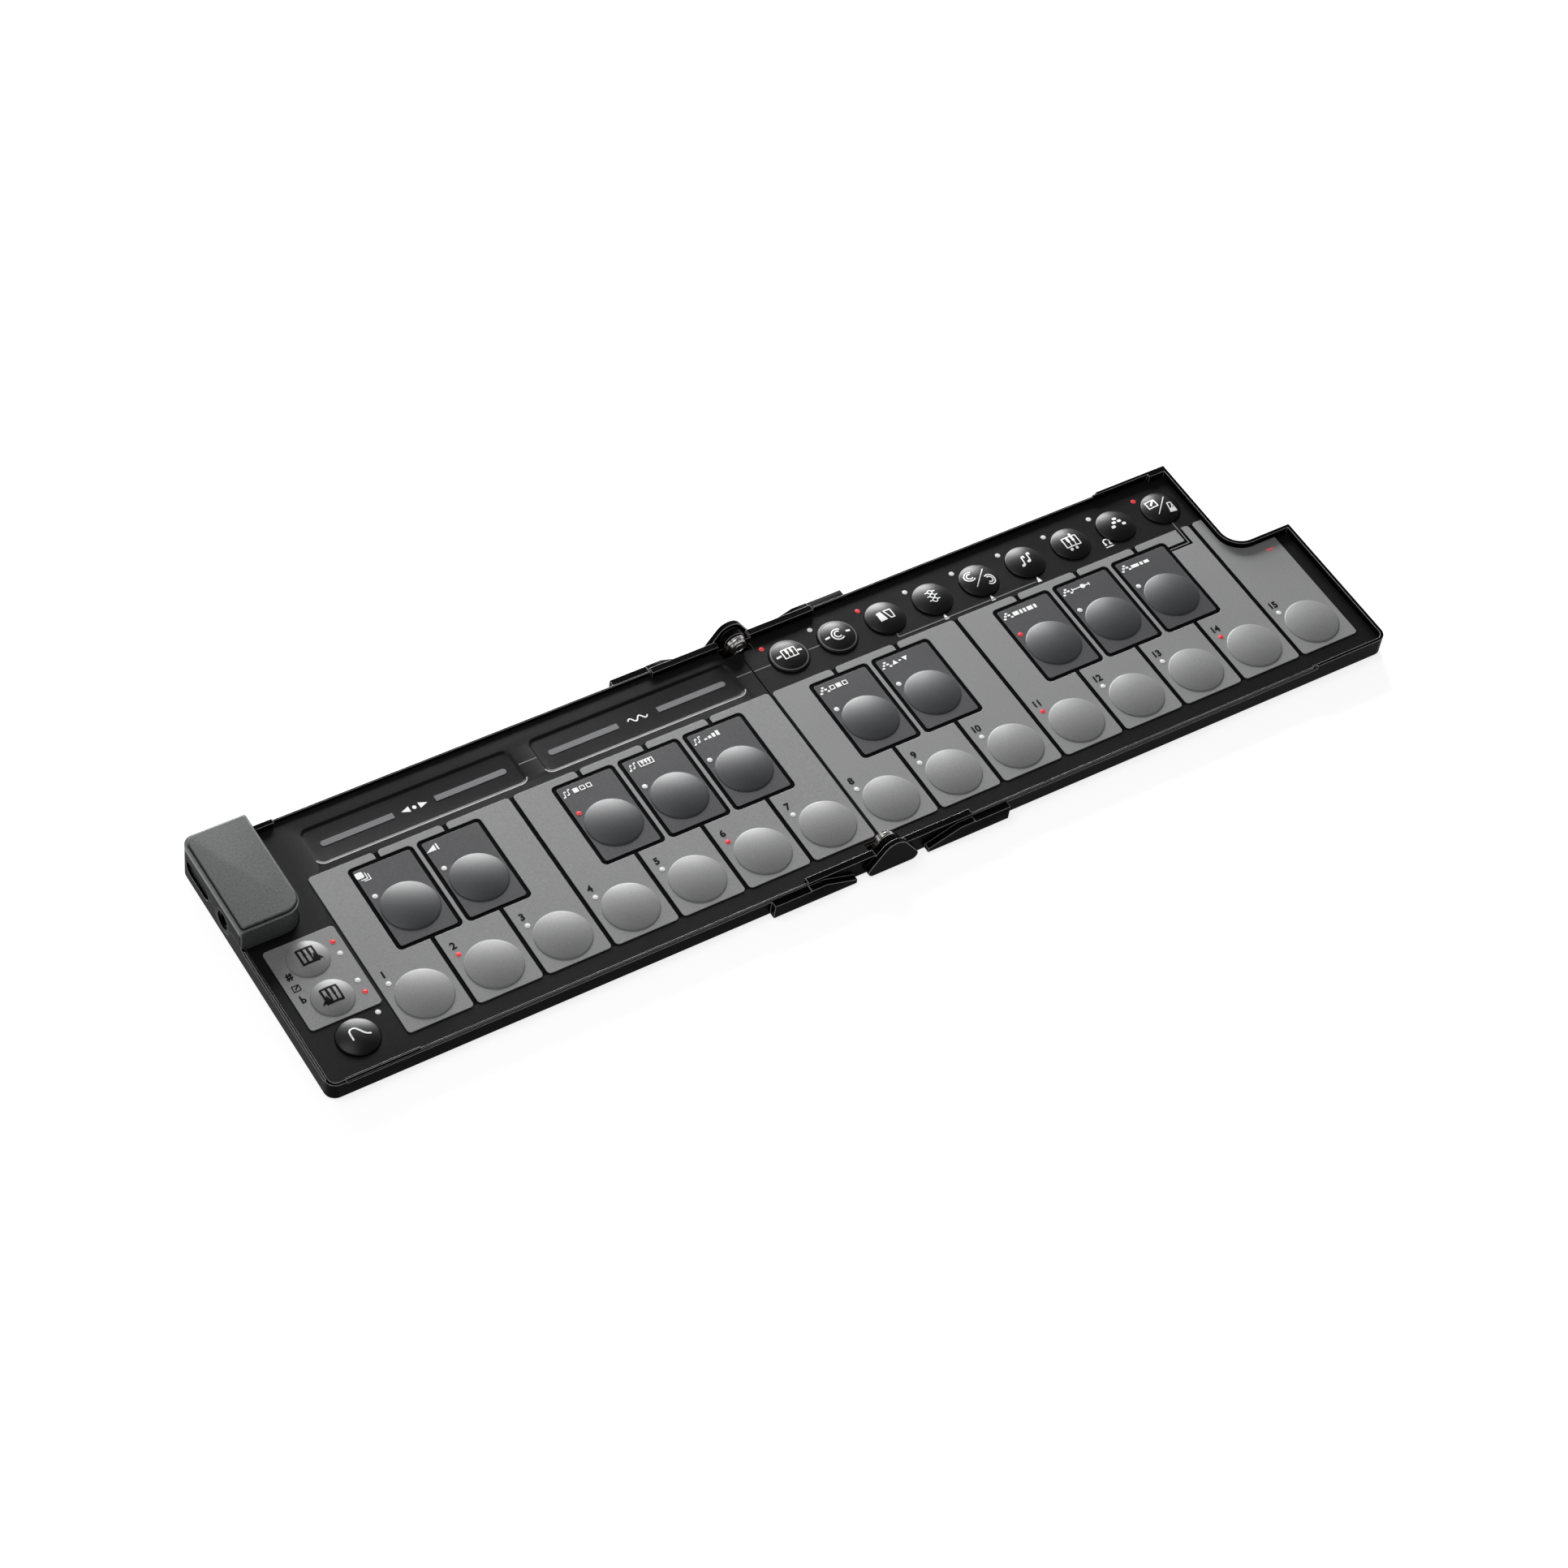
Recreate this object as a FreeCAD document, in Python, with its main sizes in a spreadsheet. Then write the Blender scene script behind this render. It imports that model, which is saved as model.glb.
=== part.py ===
"""Folding 25 key controller keyboard: two thin trays hinged at the middle of their long sides.

Origin: middle of the fold line, halfway between the front and the back, on the table.
X runs along the keys to the right, Y to the back, Z up. Millimetres.
"""
import FreeCAD
import Part
import Sketcher
import math
import os

SIZES = [
    ("half_length", 177.1, "fold line to the outer end of each half"),
    ("case_depth", 88.3, "front wall to back wall, outside"),
    ("seam_gap", 0.3, "each half stops this far from the fold line"),
    ("foot_height", 0.6, "rubber feet below the trays"),
    ("case_height", 6.5, "underside of a tray to its high rim"),
    ("rim_drop", 0.7, "low rim below the high rim"),
    ("ledge_drop", 0.6, "outer ledge below the low rim"),
    ("ledge_width", 0.5, "outer ledge across the wall"),
    ("end_wall", 1.1, "wall at the outer ends and round the notch"),
    ("side_wall", 1.0, "front and back walls"),
    ("fold_wall", 1.2, "wall under the sheet at the fold"),
    ("floor_thickness", 1.1, "floor of a tray"),
    ("corner_radius", 3.3, "outer corners of the trays"),
    ("rim_rest", 0.05, "half the gap left between the high rims when folded"),
    ("left_sheet_height", 4.8, "top of the left key sheet above the underside"),
    ("right_sheet_height", 4.3, "top of the right key sheet above the underside"),
    ("sheet_thickness", 0.8, "silicone key sheet"),
    ("sheet_seat", 1.6, "shoulder inside the walls that carries the sheet"),
    ("sheet_clearance", 0.1, "sheet to wall"),
    ("high_rim_start", 27.5, "high rim beside the hinge ends here, from the fold"),
    ("end_rim_length", 27.6, "high rim at the outer end, along X"),
    ("notch_rim_length", 27.1, "high rim before the notch, along X"),
    ("ledge_inset", 5.1, "outer ledge of the left tray ends this far from the outer end"),
    ("ledge_overrun", 1.5, "outer ledge of the right tray runs on beside the high rim"),
    ("rim_block", 1.1, "extra wall inside the high rim"),
    ("key_margin", 26.6, "lowest light key from the outer end"),
    ("key_gap", 1.35, "dark line between two light keys"),
    ("key_front", 6.85, "front edge of the keys from the front wall"),
    ("key_back", 22.55, "back edge of the keys from the back wall"),
    ("key_corner", 1.2, "corner radius of a light key"),
    ("pad_thickness", 0.3, "coloured key faces stand on the sheet by this"),
    ("dark_width", 20.3, "recessed border of a dark key, across"),
    ("dark_front", 25.4, "front edge of that border from the front edge of the light keys"),
    ("dark_back", 2.5, "back edge of that border from the back edge of the light keys"),
    ("dark_corner", 1.6, "corner radius of that border"),
    ("dark_margin", 1.2, "border to the dark face inside it"),
    ("light_dome_radius", 8.3, "pad of a light key"),
    ("light_dome_place", 9.7, "centre of that pad from the front edge of the key"),
    ("dark_dome_radius", 8.4, "pad of a dark key"),
    ("dark_dome_place", 12.3, "centre of that pad from the front of the border"),
    ("dome_height", 1.6, "crown of a pad above the sheet"),
    ("dome_side", 0.25, "upright side of a pad above the sheet"),
    ("dome_shoulder", 0.5, "sloped shoulder between side and crown"),
    ("dome_clearance", 0.15, "pad to its hole"),
    ("flange_width", 0.6, "flange that keeps a pad under the sheet"),
    ("flange_thickness", 0.35, "that flange"),
    ("key_travel", 0.7, "press travel of every pad and button"),
    ("press_gap", 0.05, "flange to board when pressed"),
    ("board_thickness", 0.8, "circuit boards"),
    ("board_margin", 2.4, "board edge from the walls"),
    ("path_width", 1.9, "black path from the last function button to the highest dark key"),
    ("path_back", 6.95, "front edge of that path from the back edge of the light keys"),
    ("lamp_radius", 0.8, "indicator windows"),
    ("lamp_height", 0.1, "indicator windows stand on the surface by this"),
    ("light_lamp_across", 2.9, "window from the left edge of a light key"),
    ("light_lamp_along", 17.1, "window from the front edge of a light key"),
    ("dark_lamp_across", 7.2, "window left of the middle of a dark key"),
    ("dark_lamp_along", 19.65, "window from the front of the dark border"),
    ("button_radius", 6.15, "function, shift and curve buttons"),
    ("function_first", 12.65, "first function button from the fold"),
    ("function_last", 9.85, "last function button from the notch"),
    ("function_row", 13.0, "function buttons from the back wall"),
    ("function_lamp_across", 5.85, "window left of its function button"),
    ("function_lamp_along", 6.1, "window behind its function button"),
    ("shift_panel_inset", 4.5, "shift panel from the outer end"),
    ("shift_panel_width", 21.6, "shift panel across"),
    ("shift_panel_reach", 29.2, "shift panel along"),
    ("shift_panel_front", 24.9, "front edge of the shift panel before the middle"),
    ("shift_inset", 14.8, "shift and curve buttons from the outer end"),
    ("shift_row", 3.05, "upper shift button before the middle"),
    ("shift_pitch", 14.5, "one of these buttons to the next"),
    ("shift_lamp_inset", 23.45, "their windows from the outer end"),
    ("shift_lamp_along", 2.15, "windows before and behind the shift buttons"),
    ("curve_lamp_along", 5.0, "window behind the curve button"),
    ("strip_inset", 32.4, "touch strip recesses from the outer end"),
    ("strip_start", 5.7, "touch strip recesses from the fold"),
    ("strip_gap", 6.0, "between the two touch strip recesses"),
    ("strip_width", 13.3, "touch strip recess"),
    ("strip_back", 6.65, "touch strip recesses from the back wall"),
    ("strip_corner", 2.6, "corner radius of the recesses"),
    ("strip_depth", 0.45, "depth of the recesses"),
    ("strip_slope", 0.8, "sloped walls of the recesses, across"),
    ("bar_inset", 3.9, "bar from the end of its recess"),
    ("bar_length", 22.8, "each touch bar"),
    ("bar_width", 2.0, "each touch bar"),
    ("bar_height", 0.12, "each touch bar above the floor of the recess"),
    ("notch_length", 21.0, "notch in the right tray along X"),
    ("notch_depth", 37.3, "notch in the right tray along Y"),
    ("notch_radius", 6.5, "inner corner of the notch"),
    ("port_length", 19.7, "port housing along X"),
    ("port_depth", 36.4, "port housing along Y"),
    ("port_height", 12.9, "port housing above the underside"),
    ("port_corner", 5.6, "front right corner of the port housing"),
    ("port_edge", 0.7, "small corners of the port housing"),
    ("port_wall", 1.5, "walls of the port housing"),
    ("port_waist", 6.3, "tray wall beside the port housing, above the underside"),
    ("port_step", 0.5, "raised top of the port housing"),
    ("port_lip", 0.3, "border round that top at the right and the back"),
    ("port_soft", 0.4, "softened edges of that top"),
    ("port_border", 1.1, "border round that top at the left and the front"),
    ("port_gap", 0.1, "port housing to tray and sockets"),
    ("port_sheet_gap", 0.25, "port housing to the key sheet"),
    ("usb_place", 10.2, "port from the back wall"),
    ("usb_height", 5.6, "port centre above the underside"),
    ("usb_mouth_width", 13.4, "recess round the port"),
    ("usb_mouth_height", 4.8, "recess round the port"),
    ("usb_width", 9.0, "metal shell of the port"),
    ("usb_thickness", 3.3, "metal shell of the port"),
    ("usb_length", 7.4, "metal shell of the port"),
    ("usb_skin", 0.3, "metal shell of the port"),
    ("usb_inset", 1.6, "port behind the side of the housing"),
    ("usb_tongue", 0.7, "contact tongue of the port"),
    ("jack_place", 25.6, "jack from the back wall"),
    ("jack_height", 6.0, "jack centre above the underside"),
    ("jack_ring", 4.0, "outer radius of the jack collar"),
    ("jack_bore", 1.8, "bore radius of the jack"),
    ("jack_length", 13.5, "jack body along X"),
    ("jack_depth", 12.0, "depth of the jack bore"),
    ("jack_body", 9.0, "square body of the jack"),
    ("jack_collar", 1.8, "length of the round collar of the jack"),
    ("pocket_width", 5.2, "hinge pocket each side of the fold line"),
    ("pocket_length", 5.4, "hinge pocket from the outer wall inwards"),
    ("pocket_floor", 1.7, "floor of the pocket above the underside"),
    ("pocket_wall", 1.0, "walls round the pocket inside the tray"),
    ("knuckle_radius", 3.4, "hinge knuckles"),
    ("knuckle_length", 2.5, "knuckle of the right tray"),
    ("knuckle_gap", 0.2, "between knuckles along the pin"),
    ("pin_radius", 1.6, "hinge pin"),
    ("pin_clearance", 0.05, "pin in the turning knuckle"),
    ("pin_head_radius", 2.7, "polished head at the inner end of the pin"),
    ("pin_head_length", 0.9, "that head, along the pin"),
    ("pin_head_edge", 0.35, "straight edge of that head"),
    ("pin_reach", 1.0, "pin inside the cover"),
    ("leaf_length", 1.4, "eye of the metal leaf along the pin"),
    ("leaf_thickness", 0.8, "foot and arm of the leaf"),
    ("cover_radius", 4.5, "round top of the hinge cover"),
    ("cover_foot", 8.3, "half width of the hinge cover at its foot"),
    ("cover_thickness", 1.7, "hinge cover"),
    ("cover_round", 2.0, "rounded foot corners of the hinge cover"),
    ("cover_gap", 0.3, "hinge cover to the turning tray"),
    ("cover_pad", 1.0, "foot pad of the cover ends this far from the fold line"),
    ("tab_end", 39.5, "outer end of the side tabs from the fold"),
    ("tab_start", 12.0, "inner end of the side tabs from the fold"),
    ("tab_slope", 22.5, "top of the slope of the side tabs"),
    ("tab_nose", 1.6, "low end of the slope above the underside"),
    ("tab_height", 5.4, "top of the side tabs above the underside"),
    ("tab_depth", 2.0, "side tabs outside the walls"),
    ("foot_radius", 4.0, "rubber feet"),
    ("foot_recess", 0.4, "feet sit in the floor by this"),
    ("foot_clearance", 0.1, "feet to their recesses"),
    ("foot_inset_end", 13.0, "foot centre from the outer end"),
    ("foot_inset_fold", 18.0, "foot centre from the fold"),
    ("foot_inset_side", 10.0, "foot centre from the walls"),
    ("screw_radius", 0.95, "board screws"),
    ("screw_hole", 1.05, "pilot holes"),
    ("screw_head", 1.8, "head of the board screws"),
    ("screw_head_height", 0.5, "head of the board screws"),
    ("screw_depth", 0.6, "screws in the floor"),
    ("boss_radius", 2.6, "bosses that carry the boards"),
    ("screw_back", 18.9, "rear screws behind the middle"),
    ("screw_front", 20.0, "front screws before the middle"),
]

LIGHT_KEYS = 15
LEFT_LIGHT_KEYS = 7
DARK_SLOTS = (1, 2, 4, 5, 6, 8, 9, 11, 12, 13)
LEFT_DARK_KEYS = 5
FUNCTION_BUTTONS = 9

doc = FreeCAD.newDocument("folding_keyboard")
sheet = doc.addObject("Spreadsheet::Sheet", "Sizes")
for row, (alias, value, meaning) in enumerate(SIZES, start=1):
    sheet.set("A%d" % row, alias)
    sheet.set("B%d" % row, str(value))
    sheet.set("C%d" % row, meaning)
    sheet.setAlias("B%d" % row, alias)
doc.recompute()


class Size:
    """A number together with the spreadsheet expression that gives it."""

    def __init__(self, value, text):
        self.value = float(value)
        self.text = text

    def _pair(self, other, sign, result):
        other = as_size(other)
        return Size(result(self.value, other.value), "(%s %s %s)" % (self.text, sign, other.text))

    def __add__(self, other):
        return self._pair(other, "+", lambda a, b: a + b)

    def __sub__(self, other):
        return self._pair(other, "-", lambda a, b: a - b)

    def __mul__(self, other):
        return self._pair(other, "*", lambda a, b: a * b)

    def __truediv__(self, other):
        return self._pair(other, "/", lambda a, b: a / b)

    def __radd__(self, other):
        return as_size(other) + self

    def __rsub__(self, other):
        return as_size(other) - self

    def __rmul__(self, other):
        return as_size(other) * self

    def __neg__(self):
        return as_size(0) - self


def as_size(number):
    """A plain number or a Size, as a Size."""
    if isinstance(number, Size):
        return number
    return Size(number, repr(float(number)))


def size(alias):
    """The spreadsheet value with this alias."""
    return Size(getattr(sheet, alias), "Sizes." + alias)


def bind(thing, prop, amount):
    """Tie one property to a Size."""
    thing.setExpression(prop, as_size(amount).text)


def place(thing, x, y, z):
    """Tie the position of an object to three Sizes."""
    x, y, z = as_size(x), as_size(y), as_size(z)
    thing.Placement.Base = FreeCAD.Vector(x.value, y.value, z.value)
    bind(thing, "Placement.Base.x", x)
    bind(thing, "Placement.Base.y", y)
    bind(thing, "Placement.Base.z", z)


def named(thing, label):
    """Give an object its label, which names its file."""
    if label:
        thing.Label = label
    return thing


def box(x, y, z, length, width, height, label=None):
    """A block from its lowest corner."""
    block = doc.addObject("Part::Box", "Block")
    for prop, amount in (("Length", length), ("Width", width), ("Height", height)):
        setattr(block, prop, as_size(amount).value)
        bind(block, prop, amount)
    place(block, x, y, z)
    return named(block, label)


TURNS = {
    "z": FreeCAD.Rotation(),
    "x": FreeCAD.Rotation(FreeCAD.Vector(0, 1, 0), 90),
    "y": FreeCAD.Rotation(FreeCAD.Vector(1, 0, 0), -90),
}


def rod(x, y, z, radius, length, along="z", label=None):
    """A cylinder from the centre of its first face, along +X, +Y or +Z."""
    cylinder = doc.addObject("Part::Cylinder", "Rod")
    cylinder.Radius = as_size(radius).value
    cylinder.Height = as_size(length).value
    bind(cylinder, "Radius", radius)
    bind(cylinder, "Height", length)
    cylinder.Placement.Rotation = TURNS[along]
    place(cylinder, x, y, z)
    return named(cylinder, label)


def fuse(solids, label=None):
    """Several solids made one."""
    joined = doc.addObject("Part::MultiFuse", "Joined")
    joined.Shapes = solids
    joined.Refine = True
    return named(joined, label)


def group(solids, label=None):
    """Several separate solids in one node."""
    compound = doc.addObject("Part::Compound", "Group")
    compound.Links = solids
    return named(compound, label)


def cut(base, tools, label=None):
    """A solid less others."""
    tool = tools[0] if len(tools) == 1 else fuse(tools)
    result = doc.addObject("Part::Cut", "Trimmed")
    result.Base = base
    result.Tool = tool
    result.Refine = True
    return named(result, label)


def common(base, tool, label=None):
    """What two solids share."""
    result = doc.addObject("Part::Common", "Shared")
    result.Base = base
    result.Tool = tool
    result.Refine = True
    return named(result, label)


def origin_plane(body, role):
    """One of the three origin planes of a body."""
    for feature in body.Origin.OriginFeatures:
        if feature.Role == role:
            return feature
    raise ValueError(role)


def new_sketch(body, role, name):
    """An empty sketch on an origin plane of the body."""
    sketch = body.newObject("Sketcher::SketchObject", name)
    sketch.AttachmentSupport = [(origin_plane(body, role), "")]
    sketch.MapMode = "FlatFace"
    return sketch


def constrain(sketch, kind, refs, amount, name):
    """A named dimension tied to a Size."""
    amount = as_size(amount)
    index = sketch.addConstraint(Sketcher.Constraint(kind, *refs, amount.value))
    sketch.renameConstraint(index, name)
    sketch.setExpression("Constraints." + name, amount.text)


def rounded_outline(sketch, width, depth, radii):
    """A rectangle from the origin with its own radius at each corner.

    The radii start at the origin and go anticlockwise; a corner without one is sharp.
    """
    across, along = as_size(width).value, as_size(depth).value
    rounds = [as_size(radius).value for radius in radii]
    corners = [(0.0, 0.0), (across, 0.0), (across, along), (0.0, along)]
    heading = [(1, 0), (0, 1), (-1, 0), (0, -1)]
    for side in range(4):
        start, end = corners[side], corners[(side + 1) % 4]
        dx, dy = heading[side]
        first, second = rounds[side], rounds[(side + 1) % 4]
        sketch.addGeometry(Part.LineSegment(
            FreeCAD.Vector(start[0] + dx * first, start[1] + dy * first, 0),
            FreeCAD.Vector(end[0] - dx * second, end[1] - dy * second, 0)))
        sketch.addConstraint(Sketcher.Constraint("Horizontal" if side % 2 == 0 else "Vertical", side))
    inward = [(1, 1), (-1, 1), (-1, -1), (1, -1)]
    for corner in range(4):
        radius = rounds[corner]
        before = (corner - 1) % 4
        if radius == 0:
            sketch.addConstraint(Sketcher.Constraint("Coincident", before, 2, corner, 1))
            continue
        centre = FreeCAD.Vector(corners[corner][0] + inward[corner][0] * radius,
                                corners[corner][1] + inward[corner][1] * radius, 0)
        begin = math.radians(180 + 90 * corner)
        circle = Part.Circle(centre, FreeCAD.Vector(0, 0, 1), radius)
        arc = sketch.addGeometry(Part.ArcOfCircle(circle, begin, begin + math.pi / 2))
        sketch.addConstraint(Sketcher.Constraint("Tangent", before, 2, arc, 1))
        sketch.addConstraint(Sketcher.Constraint("Tangent", arc, 2, corner, 1))
        constrain(sketch, "Radius", (arc,), radii[corner], "corner_%d" % corner)
    sketch.addConstraint(Sketcher.Constraint("PointOnObject", 0, 1, -1))
    sketch.addConstraint(Sketcher.Constraint("PointOnObject", 3, 1, -2))
    constrain(sketch, "DistanceX", (-1, 1, 1, 1), width, "across")
    constrain(sketch, "DistanceY", (-1, 1, 2, 1), depth, "along")


def plate(x, y, z, width, depth, height, radii, label=None):
    """A flat slab with rounded upright corners, from its lowest corner."""
    if isinstance(radii, Size):
        radii = [radii] * 4
    body = doc.addObject("PartDesign::Body", "Plate")
    sketch = new_sketch(body, "XY_Plane", "Outline")
    rounded_outline(sketch, width, depth, radii)
    pad = body.newObject("PartDesign::Pad", "Slab")
    pad.Profile = sketch
    pad.Length = as_size(height).value
    bind(pad, "Length", height)
    place(body, x, y, z)
    return named(body, label)


def polygon_prism(y, points, thickness, label=None):
    """A prism whose outline lies in the XZ plane, from y towards +Y."""
    body = doc.addObject("PartDesign::Body", "Prism")
    sketch = new_sketch(body, "XZ_Plane", "Outline")
    count = len(points)
    values = [(as_size(px).value, as_size(pz).value) for px, pz in points]
    for index in range(count):
        start, end = values[index], values[(index + 1) % count]
        sketch.addGeometry(Part.LineSegment(FreeCAD.Vector(start[0], start[1], 0),
                                            FreeCAD.Vector(end[0], end[1], 0)))
    for index, (px, pz) in enumerate(points):
        sketch.addConstraint(Sketcher.Constraint("Coincident", index, 2, (index + 1) % count, 1))
        constrain(sketch, "DistanceX", (-1, 1, index, 1), px, "across_%d" % index)
        constrain(sketch, "DistanceY", (-1, 1, index, 1), pz, "up_%d" % index)
    pad = body.newObject("PartDesign::Pad", "Slab")
    pad.Profile = sketch
    pad.Length = as_size(thickness).value
    pad.Reversed = True
    bind(pad, "Length", thickness)
    place(body, 0, y, 0)
    return named(body, label)


def turned(corners, crown):
    """A turned body standing on Z: straight runs through the corners, then a round crown."""
    body = doc.addObject("PartDesign::Body", "Turned")
    sketch = new_sketch(body, "XZ_Plane", "Section")
    corners = [(as_size(across), as_size(up)) for across, up in corners]
    values = [FreeCAD.Vector(across.value, up.value, 0) for across, up in corners]
    for start, end in zip(values, values[1:]):
        sketch.addGeometry(Part.LineSegment(start, end))
    last = len(values) - 1
    half_width = values[-1].x
    rise = crown.value - values[-1].y
    reach = (half_width * half_width + rise * rise) / (2 * rise)
    top = FreeCAD.Vector(0, crown.value, 0)
    circle = Part.Circle(FreeCAD.Vector(0, crown.value - reach, 0), FreeCAD.Vector(0, 0, 1), reach)
    begin = math.pi / 2 - math.asin(half_width / reach)
    sketch.addGeometry(Part.ArcOfCircle(circle, begin, math.pi / 2))
    sketch.addGeometry(Part.LineSegment(top, values[0]))
    for index in range(last + 1):
        sketch.addConstraint(Sketcher.Constraint("Coincident", index, 2, index + 1, 1))
    sketch.addConstraint(Sketcher.Constraint("Coincident", last + 1, 2, 0, 1))
    sketch.addConstraint(Sketcher.Constraint("PointOnObject", last, 3, -2))
    sketch.addConstraint(Sketcher.Constraint("PointOnObject", 0, 1, -2))
    sketch.addConstraint(Sketcher.Constraint("Vertical", last + 1))
    constrain(sketch, "DistanceY", (-1, 1, 0, 1), corners[0][1], "foot")
    for index in range(1, last + 1):
        constrain(sketch, "DistanceX", (-1, 1, index, 1), corners[index][0], "across_%d" % index)
        constrain(sketch, "DistanceY", (-1, 1, index, 1), corners[index][1], "up_%d" % index)
    constrain(sketch, "DistanceY", (-1, 1, last, 2), crown, "crown_top")
    turn = body.newObject("PartDesign::Revolution", "Turn")
    turn.Profile = sketch
    turn.ReferenceAxis = (sketch, ["V_Axis"])
    turn.Angle = 360
    return body


def press_pad(x, y, bottom, surface, radius, label):
    """A round key pad: flange under the sheet, upright side and a low crown.

    bottom is the underside of the sheet and surface its top.
    """
    rim = as_size(radius)
    flange = rim + size("flange_width")
    side = surface - bottom + size("dome_side")
    shoulder = size("dome_shoulder")
    thick = size("flange_thickness")
    corners = [(0, -thick), (flange, -thick), (flange, 0), (rim, 0), (rim, side),
               (rim - shoulder, side + shoulder)]
    body = turned(corners, surface - bottom + size("dome_height"))
    place(body, x, y, bottom)
    return named(body, label)


MIDDLE = as_size(0)
under = size("foot_height")
high_rim = under + size("case_height")
low_rim = high_rim - size("rim_drop")
ledge = low_rim - size("ledge_drop")
axis_height = high_rim + size("rim_rest")
half_depth = size("case_depth") / 2
floor_top = under + size("floor_thickness")
pitch = (size("half_length") - size("key_margin")) / LEFT_LIGHT_KEYS
notch_start = size("half_length") - size("notch_length")
function_pitch = ((notch_start - size("function_last") - size("function_first"))
                  / (FUNCTION_BUTTONS - 1))
shift_place = size("half_length") - size("shift_inset")
strip_end = size("half_length") - size("strip_inset")
strip_length = (strip_end - size("strip_start") - size("strip_gap")) / 2
strip_pitch = strip_length + size("strip_gap")
strip_front = half_depth - size("strip_back") - size("strip_width")
function_row = half_depth - size("function_row")
key_front = size("key_front") - half_depth
key_back = half_depth - size("key_back")
key_reach = key_back - key_front
dark_front = key_front + size("dark_front")
dark_reach = key_back - size("dark_back") - dark_front
path_front = key_back - size("path_back")
end_rim_start = size("half_length") - size("end_rim_length")
housing_start = size("half_length") - size("port_length") - size("port_sheet_gap")
past = as_size(5)


class Half:
    """Heights and directions of one tray: sign is -1 on the left and +1 on the right."""

    def __init__(self, name, sign):
        self.name = name
        self.sign = sign
        self.surface = under + size(name + "_sheet_height")
        self.sheet_bottom = self.surface - size("sheet_thickness")
        self.board_top = (self.sheet_bottom - size("flange_thickness")
                          - size("key_travel") - size("press_gap"))
        self.board_bottom = self.board_top - size("board_thickness")
        self.pad_top = self.surface + size("pad_thickness")

    def span(self, near, far):
        """Start and length along X of a stretch given by its distances from the fold."""
        near, far = as_size(near), as_size(far)
        start = near if self.sign > 0 else -far
        return start, far - near


left = Half("left", -1)
right = Half("right", 1)


def end_rounds(half, radius, near=0):
    """Corner radii of a slab that is rounded at the outer end."""
    radius, near = as_size(radius), as_size(near)
    if half.sign > 0:
        return [near, radius, radius, near]
    return [radius, near, near, radius]


def notch_tool(grow, low, high):
    """The space that the port housing takes in the right tray, grown by a margin."""
    start = notch_start - grow
    front = half_depth - size("notch_depth") - grow
    radius = size("notch_radius") + grow
    return plate(start, front, low, size("notch_length") + grow + past,
                 size("notch_depth") + grow + past, high - low, [radius, 0, 0, 0])


def both_sides(maker):
    """The same solid at the back (+1) and at the front (-1)."""
    return [maker(1), maker(-1)]


def side_band(side, inner, depth):
    """Start along Y of a band of this depth whose inner face is this far from the middle."""
    return inner if side > 0 else -(inner + depth)


def hinge_pocket(half, side, low, margin=0):
    """Space for the hinge barrel in one half at one side."""
    start, length = half.span(as_size(-1), size("pocket_width") + margin)
    inner = half_depth - size("pocket_length") - margin
    reach = size("pocket_length") + margin + past
    return box(start, side_band(side, inner, reach), low, length, reach, past + past)


def side_tab(half, side):
    """Sloped tab outside a long wall, beside the hinge."""
    sign = half.sign
    top = under + size("tab_height")
    nose = under + size("tab_nose")
    points = [(sign * size("tab_end"), under), (sign * size("tab_end"), top),
              (sign * size("tab_slope"), top), (sign * size("tab_start"), nose),
              (sign * size("tab_start"), under)]
    inner = half_depth - size("side_wall") / 2
    depth = size("tab_depth") + size("side_wall") / 2
    return polygon_prism(side_band(side, inner, depth), points, depth)


def screw_places(half):
    """Centres of the board screws of one half, between the light keys."""
    spots = []
    for keys_along in (2, 5):
        for y in (size("screw_back"), -size("screw_front")):
            spots.append((pitch * (half.sign * keys_along), y))
    return spots


def feet_places(half):
    """Centres of the feet of one half."""
    outer = size("half_length") - size("foot_inset_end")
    inner = size("foot_inset_fold")
    along = half_depth - size("foot_inset_side")
    back_outer = outer
    if half.sign > 0:
        back_outer = size("half_length") - size("notch_length") - size("foot_inset_side")
    return [(half.sign * back_outer, along), (half.sign * inner, along),
            (half.sign * outer, -along), (half.sign * inner, -along)]


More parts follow.
